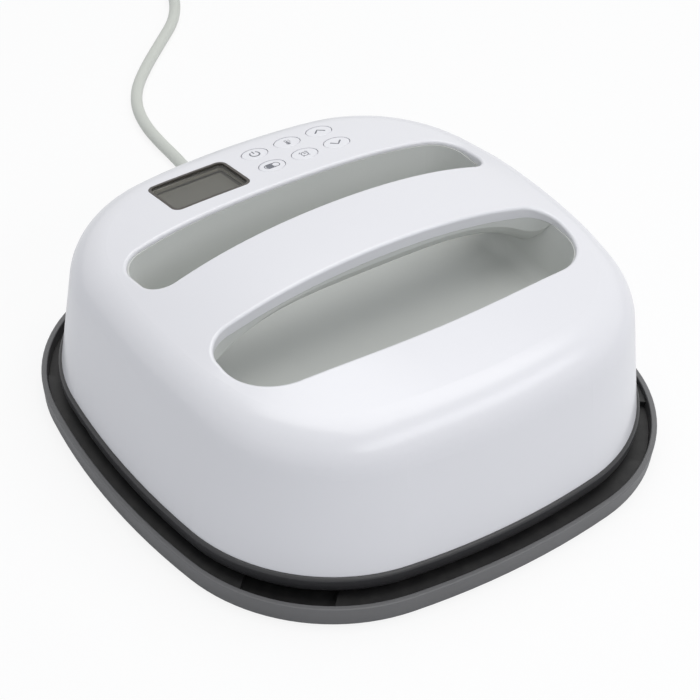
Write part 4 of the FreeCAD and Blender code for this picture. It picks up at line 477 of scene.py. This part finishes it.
def two_tones(tree, shader, colour, tone, contrast, dust=0.0):
    """Base colour between a darker and a lighter version of one colour, with dust where it is asked for."""
    mix = add(tree, "Mix", data_type="RGBA")
    mix.inputs[6].default_value = (*[part * (1 - contrast) for part in colour], 1)
    mix.inputs[7].default_value = (*[min(1.0, part * (1 + contrast)) for part in colour], 1)
    link(tree, tone, mix.inputs[0])
    shown = mix.outputs[2]
    if dust:
        dusty = add(tree, "Mix", data_type="RGBA")
        dusty.inputs[7].default_value = (0.35, 0.34, 0.32, 1)
        link(tree, placed_group(tree, settled_dust, amount=dust).outputs["Mask"], dusty.inputs[0])
        link(tree, shown, dusty.inputs[6])
        shown = dusty.outputs[2]
    link(tree, shown, shader.inputs["Base Color"])


def raise_grain(tree, shader, height, depth_mm):
    """Turn a height into a bump of so many millimetres."""
    bump = add(tree, "Bump")
    bump.inputs["Strength"].default_value = 1.0
    bump.inputs["Distance"].default_value = depth_mm * MM
    link(tree, height, bump.inputs["Height"])
    link(tree, bump.outputs[0], shader.inputs["Normal"])


def moulded(name, colour, roughness, grain_mm=0.5, depth_mm=0.01, contrast=0.03, dust=0.0, **own):
    """A moulded or coated surface; own holds plain values for the shader's sockets."""
    material, tree, shader = new_material(name)
    colour = paint(*colour)
    grain = placed_group(tree, moulded_grain, grains=1000 / grain_mm, clouds=14.0)
    two_tones(tree, shader, colour, grain.outputs["Tone"], contrast, dust)
    gloss = spread(tree, grain.outputs["Smudge"], 0, 1, roughness * 0.97, min(1.0, roughness * 1.03))
    link(tree, gloss, shader.inputs["Roughness"])
    raise_grain(tree, shader, grain.outputs["Height"], depth_mm)
    for socket, value in own.items():
        shader.inputs[socket.replace("_", " ")].default_value = value
    material.diffuse_color = (*colour, 1)
    return material


def drawn(name, colour, roughness, lines_per_metre=1500.0, contrast=0.12):
    """Bare metal with fine lines from rolling or turning."""
    material, tree, shader = new_material(name)
    colour = paint(*colour)
    grain = placed_group(tree, drawn_lines, lines=lines_per_metre)
    two_tones(tree, shader, colour, grain.outputs["Tone"], contrast)
    gloss = spread(tree, grain.outputs["Tone"], 0, 1, roughness * 0.8, roughness * 1.2)
    link(tree, gloss, shader.inputs["Roughness"])
    raise_grain(tree, shader, grain.outputs["Height"], 0.004)
    shader.inputs["Metallic"].default_value = 1.0
    material.diffuse_color = (*colour, 1)
    return material


def threaded(name, colour, roughness, threads_per_metre, depth_mm, contrast=0.2, **own):
    """A woven or fibrous sheet."""
    material, tree, shader = new_material(name)
    colour = paint(*colour)
    cloth = placed_group(tree, woven_threads, threads=threads_per_metre)
    two_tones(tree, shader, colour, cloth.outputs["Tone"], contrast)
    shader.inputs["Roughness"].default_value = roughness
    raise_grain(tree, shader, cloth.outputs["Height"], depth_mm)
    for socket, value in own.items():
        shader.inputs[socket.replace("_", " ")].default_value = value
    material.diffuse_color = (*colour, 1)
    return material


# %% [markdown]
# ### Plastics, metals and mats of the press
# The shell is a satin white moulding with hardly any grain.  The tub is the same plastic in grey-green
# with a spark eroded texture.  The housing and the base stand heat, so they are darker, matt and a little
# rough.

# %% The finishes by name
finishes = {
    "shell_white": moulded(
        "shell_white", (228, 228, 232), 0.30, 1.6, 0.004, 0.008, Coat_Weight=0.4, Coat_Roughness=0.16
    ),
    "tub_green": moulded("tub_green", (205, 207, 204), 0.50, 0.35, 0.012, 0.02),
    "housing_black": moulded("housing_black", (43, 43, 45), 0.36, 0.5, 0.010, 0.06, 0.02),
    "base_grey": moulded("base_grey", (101, 101, 102), 0.46, 0.4, 0.014, 0.04, 0.02),
    "liner_black": moulded("liner_black", (19, 19, 20), 0.55, 0.6, 0.020, 0.10, 0.03),
    "foot_rubber": moulded("foot_rubber", (44, 44, 45), 0.80, 0.5, 0.030, 0.12, 0.10),
    "key_white": moulded(
        "key_white", (231, 231, 235), 0.32, 1.2, 0.004, 0.01, Coat_Weight=0.2, Coat_Roughness=0.15
    ),
    "lcd_grey": moulded("lcd_grey", (204, 203, 192), 0.22, 3.0, 0.001, 0.03),
    "frame_plastic": moulded("frame_plastic", (150, 149, 142), 0.50, 0.4, 0.010, 0.04),
    "circuit_green": moulded("circuit_green", (24, 92, 52), 0.35, 1.5, 0.015, 0.25, 0.08),
    "part_black": moulded("part_black", (40, 40, 42), 0.45, 0.3, 0.010, 0.10, 0.06),
    "part_blue": moulded("part_blue", (38, 84, 150), 0.40, 0.3, 0.008, 0.08, 0.04),
    "part_yellow": moulded("part_yellow", (214, 176, 72), 0.50, 0.8, 0.020, 0.12, 0.04),
    "socket_white": moulded("socket_white", (224, 222, 212), 0.45, 0.3, 0.010, 0.04, 0.04),
    "ceramic": moulded("ceramic", (230, 227, 216), 0.25, 0.7, 0.006, 0.05),
    "cord_white": moulded("cord_white", (203, 206, 199), 0.42, 0.5, 0.008, 0.015),
    "plug_white": moulded("plug_white", (218, 219, 215), 0.48, 0.35, 0.012, 0.02),
    "tie_black": threaded("tie_black", (38, 38, 40), 0.85, 900.0, 0.12, 0.25),
    "mat_silicone": threaded("mat_silicone", (84, 84, 86), 0.70, 420.0, 0.10),
    "wool": threaded("wool", (206, 199, 178), 0.95, 260.0, 0.60, 0.15, Sheen_Weight=0.3),
    "sheath_steel": drawn("sheath_steel", (132, 120, 108), 0.38),
    "sheet_steel": drawn("sheet_steel", (186, 188, 190), 0.34, 500.0, 0.10),
    "screw_steel": drawn("screw_steel", (196, 196, 200), 0.22, 3000.0),
    "sink_aluminium": drawn("sink_aluminium", (205, 207, 210), 0.30),
    "post_brass": drawn("post_brass", (206, 172, 102), 0.25, 2500.0),
    "pin_brass": drawn("pin_brass", (214, 206, 178), 0.22, 2500.0),
}
print("finishes:", len(finishes))

# %% [markdown]
# ### Finishes that change over one piece
# The display's frame is dark where it meets the shell.  Down in its well it is painted a pale grey,
# lighter than its plastic: painted light that lifts the shade on the well's steep wall under the smoked
# window.  The heat plate's coating has pale specks.  The leads are sleeved in different colours, which
# follow their place in the housing.

# %% The shell's dome
# In millimetres: the highest place of the dome, and how fast it falls along the two axes.
CROWN_Z = 111.3
CROWN_Y = -11.8
FALL_X = 0.045e-3
FALL_X4 = 0.49e-7
FALL_Y = 0.745e-3

# %% Frame of the display, heat plate, leads
# How far below the dome the frame turns to the pale grey that is painted in its well.
DARK_DOWN_TO = 2.2
GREY_FROM = 2.6
material, tree, shader = new_material("bezel_dark")
finishes["bezel_dark"] = material
inside = add(tree, "SeparateXYZ")
link(tree, add(tree, "TexCoord").outputs["Object"], inside.inputs[0])
# The shell falls to the back, so the well's edge is measured from the dome and not from one height.
back_from_crown = maths(tree, "SUBTRACT", inside.outputs["Y"], CROWN_Y * MM)
drop = maths(tree, "MULTIPLY", maths(tree, "POWER", back_from_crown, 2), FALL_Y / MM)
depth = maths(tree, "SUBTRACT", maths(tree, "SUBTRACT", CROWN_Z * MM, drop), inside.outputs["Z"])
# Painted light: this mask marks the well, where the frame is painted lighter to lift the shade on its steep
# wall.
well = spread(tree, depth, DARK_DOWN_TO * MM, GREY_FROM * MM)
tones = add(tree, "Mix", data_type="RGBA")
tones.inputs[6].default_value = (*paint(62, 57, 52), 1)
# Painted light: a pale grey, lighter than the bare plastic, that lifts the shade in the well.
tones.inputs[7].default_value = (*paint(216, 212, 199), 1)
link(tree, well, tones.inputs[0])
link(tree, tones.outputs[2], shader.inputs["Base Color"])
grain = placed_group(tree, moulded_grain, grains=2500.0, clouds=20.0)
link(tree, spread(tree, grain.outputs["Smudge"], 0, 1, 0.3, 0.4), shader.inputs["Roughness"])
raise_grain(tree, shader, grain.outputs["Height"], 0.005)

material = moulded("plate_coat", (54, 52, 52), 0.38, 0.6, 0.010, 0.08)
finishes["plate_coat"] = material
tree = material.node_tree
shader = tree.nodes["Principled BSDF"]
cells = add(tree, "TexVoronoi")
cells.inputs["Scale"].default_value = 420.0
link(tree, add(tree, "TexCoord").outputs["Object"], cells.inputs["Vector"])
coat_tone = shader.inputs["Base Color"].links[0].from_socket
specks = add(tree, "Mix", data_type="RGBA")
specks.inputs[7].default_value = (*paint(150, 146, 142), 1)
link(tree, spread(tree, cells.outputs["Distance"], 0.13, 0.09), specks.inputs[0])
link(tree, coat_tone, specks.inputs[6])
link(tree, specks.outputs[2], shader.inputs["Base Color"])

material, tree, shader = new_material("lead_insulation")
finishes["lead_insulation"] = material
spot = add(tree, "SeparateXYZ")
link(tree, add(tree, "TexCoord").outputs["Object"], spot.inputs[0])
sleeve = add(tree, "ValToRGB")
sleeve.color_ramp.interpolation = "CONSTANT"
sleeve.color_ramp.elements[0].color = (*paint(190, 60, 44), 1)
sleeve.color_ramp.elements[1].position = 0.5
sleeve.color_ramp.elements[1].color = (*paint(226, 222, 210), 1)
link(tree, spread(tree, spot.outputs["X"], -0.12, 0.12), sleeve.inputs["Fac"])
link(tree, sleeve.outputs["Color"], shader.inputs["Base Color"])
grain = placed_group(tree, moulded_grain, grains=3000.0, clouds=60.0)
link(tree, spread(tree, grain.outputs["Smudge"], 0, 1, 0.45, 0.6), shader.inputs["Roughness"])
raise_grain(tree, shader, grain.outputs["Height"], 0.02)

# %% [markdown]
# The display's window is smoked plastic: it lets most light through, darkens it, and mirrors a little of
# the room.  The fuse is clear glass.  Alpha does both, because light reaches what lies under it without
# being traced through glass.

# %% Clear pieces
def clear(name, colour, alpha, roughness):
    """A see-through surface whose smudges show in its gloss."""
    material, tree, shader = new_material(name)
    shader.inputs["Alpha"].default_value = alpha
    grain = placed_group(tree, moulded_grain, grains=400.0, clouds=30.0)
    two_tones(tree, shader, paint(*colour), grain.outputs["Tone"], 0.05)
    gloss = spread(tree, grain.outputs["Smudge"], 0, 1, roughness * 0.8, roughness * 1.2)
    link(tree, gloss, shader.inputs["Roughness"])
    return material


finishes["window_smoke"] = clear("window_smoke", (66, 65, 60), 0.36, 0.10)
finishes["fuse_glass"] = clear("fuse_glass", (220, 230, 228), 0.30, 0.05)

# %% Lay the finishes on the solids
slot_of = {part["node"]: part["material_slot"] for part in frame["record"]["subparts"]}
for name, solid in nodes.items():
    solid.data.materials.clear()
    solid.data.materials.append(finishes[slot_of[name]])
    solid.data.polygons.foreach_set("use_smooth", [True] * len(solid.data.polygons))
cord.data.materials.append(finishes["cord_white"])
print("unused finishes:", sorted(set(finishes) - set(slot_of.values())))

# %% [markdown]
# ## Printed symbols on the keys
# Each key carries a pad printed symbol: power, temperature, up, units, timer and down.  A print is a film
# of paint, so each one is a very thin solid that lies on the key's curved face.  It is drawn as strokes,
# and every stroke is a strip of even width whose points are dropped onto the shell's dome by the dome's
# own formula.

# %% Strokes on the dome
PRINT_HIGH = 0.04


def dome(x, y):
    """Height of the shell at a place, in millimetres."""
    return CROWN_Z - FALL_X * x**2 - FALL_X4 * x**4 - FALL_Y * (y - CROWN_Y) ** 2


def arc(middle_x, middle_y, radius, start, end, steps=28):
    """Points of an arc, in degrees."""
    turns = [math.radians(start + (end - start) * step / steps) for step in range(steps + 1)]
    return [(middle_x + radius * math.cos(turn), middle_y + radius * math.sin(turn)) for turn in turns]


def edge_points(points, width):
    """The left and right edge of a stroke along points."""
    left, right = [], []
    for index, point in enumerate(points):
        before = points[max(index - 1, 0)]
        after = points[min(index + 1, len(points) - 1)]
        along = Vector((after[0] - before[0], after[1] - before[1])).normalized()
        across = Vector((-along.y, along.x)) * width / 2
        left.append((point[0] + across.x, point[1] + across.y))
        right.append((point[0] - across.x, point[1] - across.y))
    return left, right


def lay_film(form, left, right, middle):
    """A closed thin film between two edges, on the dome round the key's middle."""
    def corner(point, lift):
        x, y = middle[0] + point[0], middle[1] + point[1]
        return form.verts.new((x * MM, y * MM, (dome(x, y) + lift) * MM))

    top = [(corner(a, PRINT_HIGH), corner(b, PRINT_HIGH)) for a, b in zip(left, right)]
    low = [(corner(a, -PRINT_HIGH), corner(b, -PRINT_HIGH)) for a, b in zip(left, right)]
    for index in range(len(top) - 1):
        (a, b), (c, d) = top[index], top[index + 1]
        (e, f), (g, h) = low[index], low[index + 1]
        form.faces.new((b, d, c, a))
        form.faces.new((e, g, h, f))
        form.faces.new((a, c, g, e))
        form.faces.new((f, h, d, b))
    for (a, b), (e, f), turn in ((top[0], low[0], 1), (top[-1], low[-1], -1)):
        form.faces.new((a, e, f, b)[::turn])


# %% The six symbols
LINE = 0.68
GROW = {"power_key": 1.18, "up_key": 1.35, "down_key": 1.35, "units_key": 1.10}
CHEVRON = ((-2.5, -1.1), (-1.25, 0.1), (0.0, 1.3), (1.25, 0.1), (2.5, -1.1))
symbols = {
    "power_key": [(arc(0, -0.2, 2.3, 125, 415), LINE), ([(0.0, 0.4), (0.0, 2.8)], LINE)],
    "temperature_key": [
        ([(-0.6, -0.9), (-0.6, 2.2), (0.0, 2.8), (0.6, 2.2), (0.6, -0.9)], 0.35),
        (arc(0, -1.7, 1.05, 125, 415), 0.35),
        (arc(0, -1.7, 0.35, 0, 360, 12), 0.7),
        ([(0.0, -1.2), (0.0, 1.0)], 0.45),
        ([(1.5, 1.9), (2.4, 1.9)], 0.35),
        ([(1.5, 0.9), (2.4, 0.9)], 0.35),
        ([(1.5, -0.1), (2.4, -0.1)], 0.35),
    ],
    "up_key": [(list(CHEVRON), LINE)],
    "down_key": [([(x, -y) for x, y in CHEVRON], LINE)],
    "units_key": [
        (arc(2.1, 0, 2.0, -90, 90) + [(-2.1, 2.0)] + arc(-2.1, 0, 2.0, 90, 270) + [(2.1, -2.0)], 0.45),
        ([(-3.3, 0.0), (-3.0, 0.0)], 2.0),
        ([(-3.0, 0.0), (-2.6, 0.0)], 2.9),
        ([(-2.6, 0.0), (0.3, 0.0)], 3.5),
        (arc(2.1, 0, 1.9, 90, 270), 0.45),
    ],
    "timer_key": [
        (arc(0, -0.1, 2.0, 0, 360), 0.5),
        ([(0.0, -0.1), (0.0, 1.2)], 0.45),
        ([(0.0, -0.1), (0.9, -0.1)], 0.45),
        (arc(0, -0.1, 3.0, 28, 62, 8), 0.5),
        (arc(0, -0.1, 3.0, 118, 152, 8), 0.5),
        ([(-1.5, -1.8), (-2.1, -2.6)], 0.45),
        ([(1.5, -1.8), (2.1, -2.6)], 0.45),
    ],
}
finishes["symbol_print"] = moulded("symbol_print", (112, 114, 121), 0.55, 0.2, 0.004, 0.06)
COLUMNS = (6.4, 27.6, 48.8)
ROWS = (103.4, 85.8)
PLACES = {
    "power_key": (COLUMNS[0], ROWS[0]),
    "temperature_key": (COLUMNS[1], ROWS[0]),
    "up_key": (COLUMNS[2], ROWS[0]),
    "units_key": (COLUMNS[0], ROWS[1]),
    "timer_key": (COLUMNS[1], ROWS[1]),
    "down_key": (COLUMNS[2], ROWS[1]),
}
for key_name, strokes in symbols.items():
    mesh = bpy.data.meshes.new("symbol_" + key_name)
    form = bmesh.new()
    grow = GROW.get(key_name, 1.0)
    for points, width in strokes:
        grown = [(x * grow, y * grow) for x, y in points]
        lay_film(form, *edge_points(grown, width * grow), PLACES[key_name])
    form.to_mesh(mesh)
    form.free()
    mesh.materials.append(finishes["symbol_print"])
    symbol = bpy.data.objects.new("symbol_" + key_name, mesh)
    bpy.context.scene.collection.objects.link(symbol)
    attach(symbol, key_name + "_body")
print("symbols:", len(symbols))

# %% [markdown]
# ## Size
# The box round everything that is shown is measured once more. The dressed part has to
# stay inside the box of its solids.

# %% Measure the bounds
low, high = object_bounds()
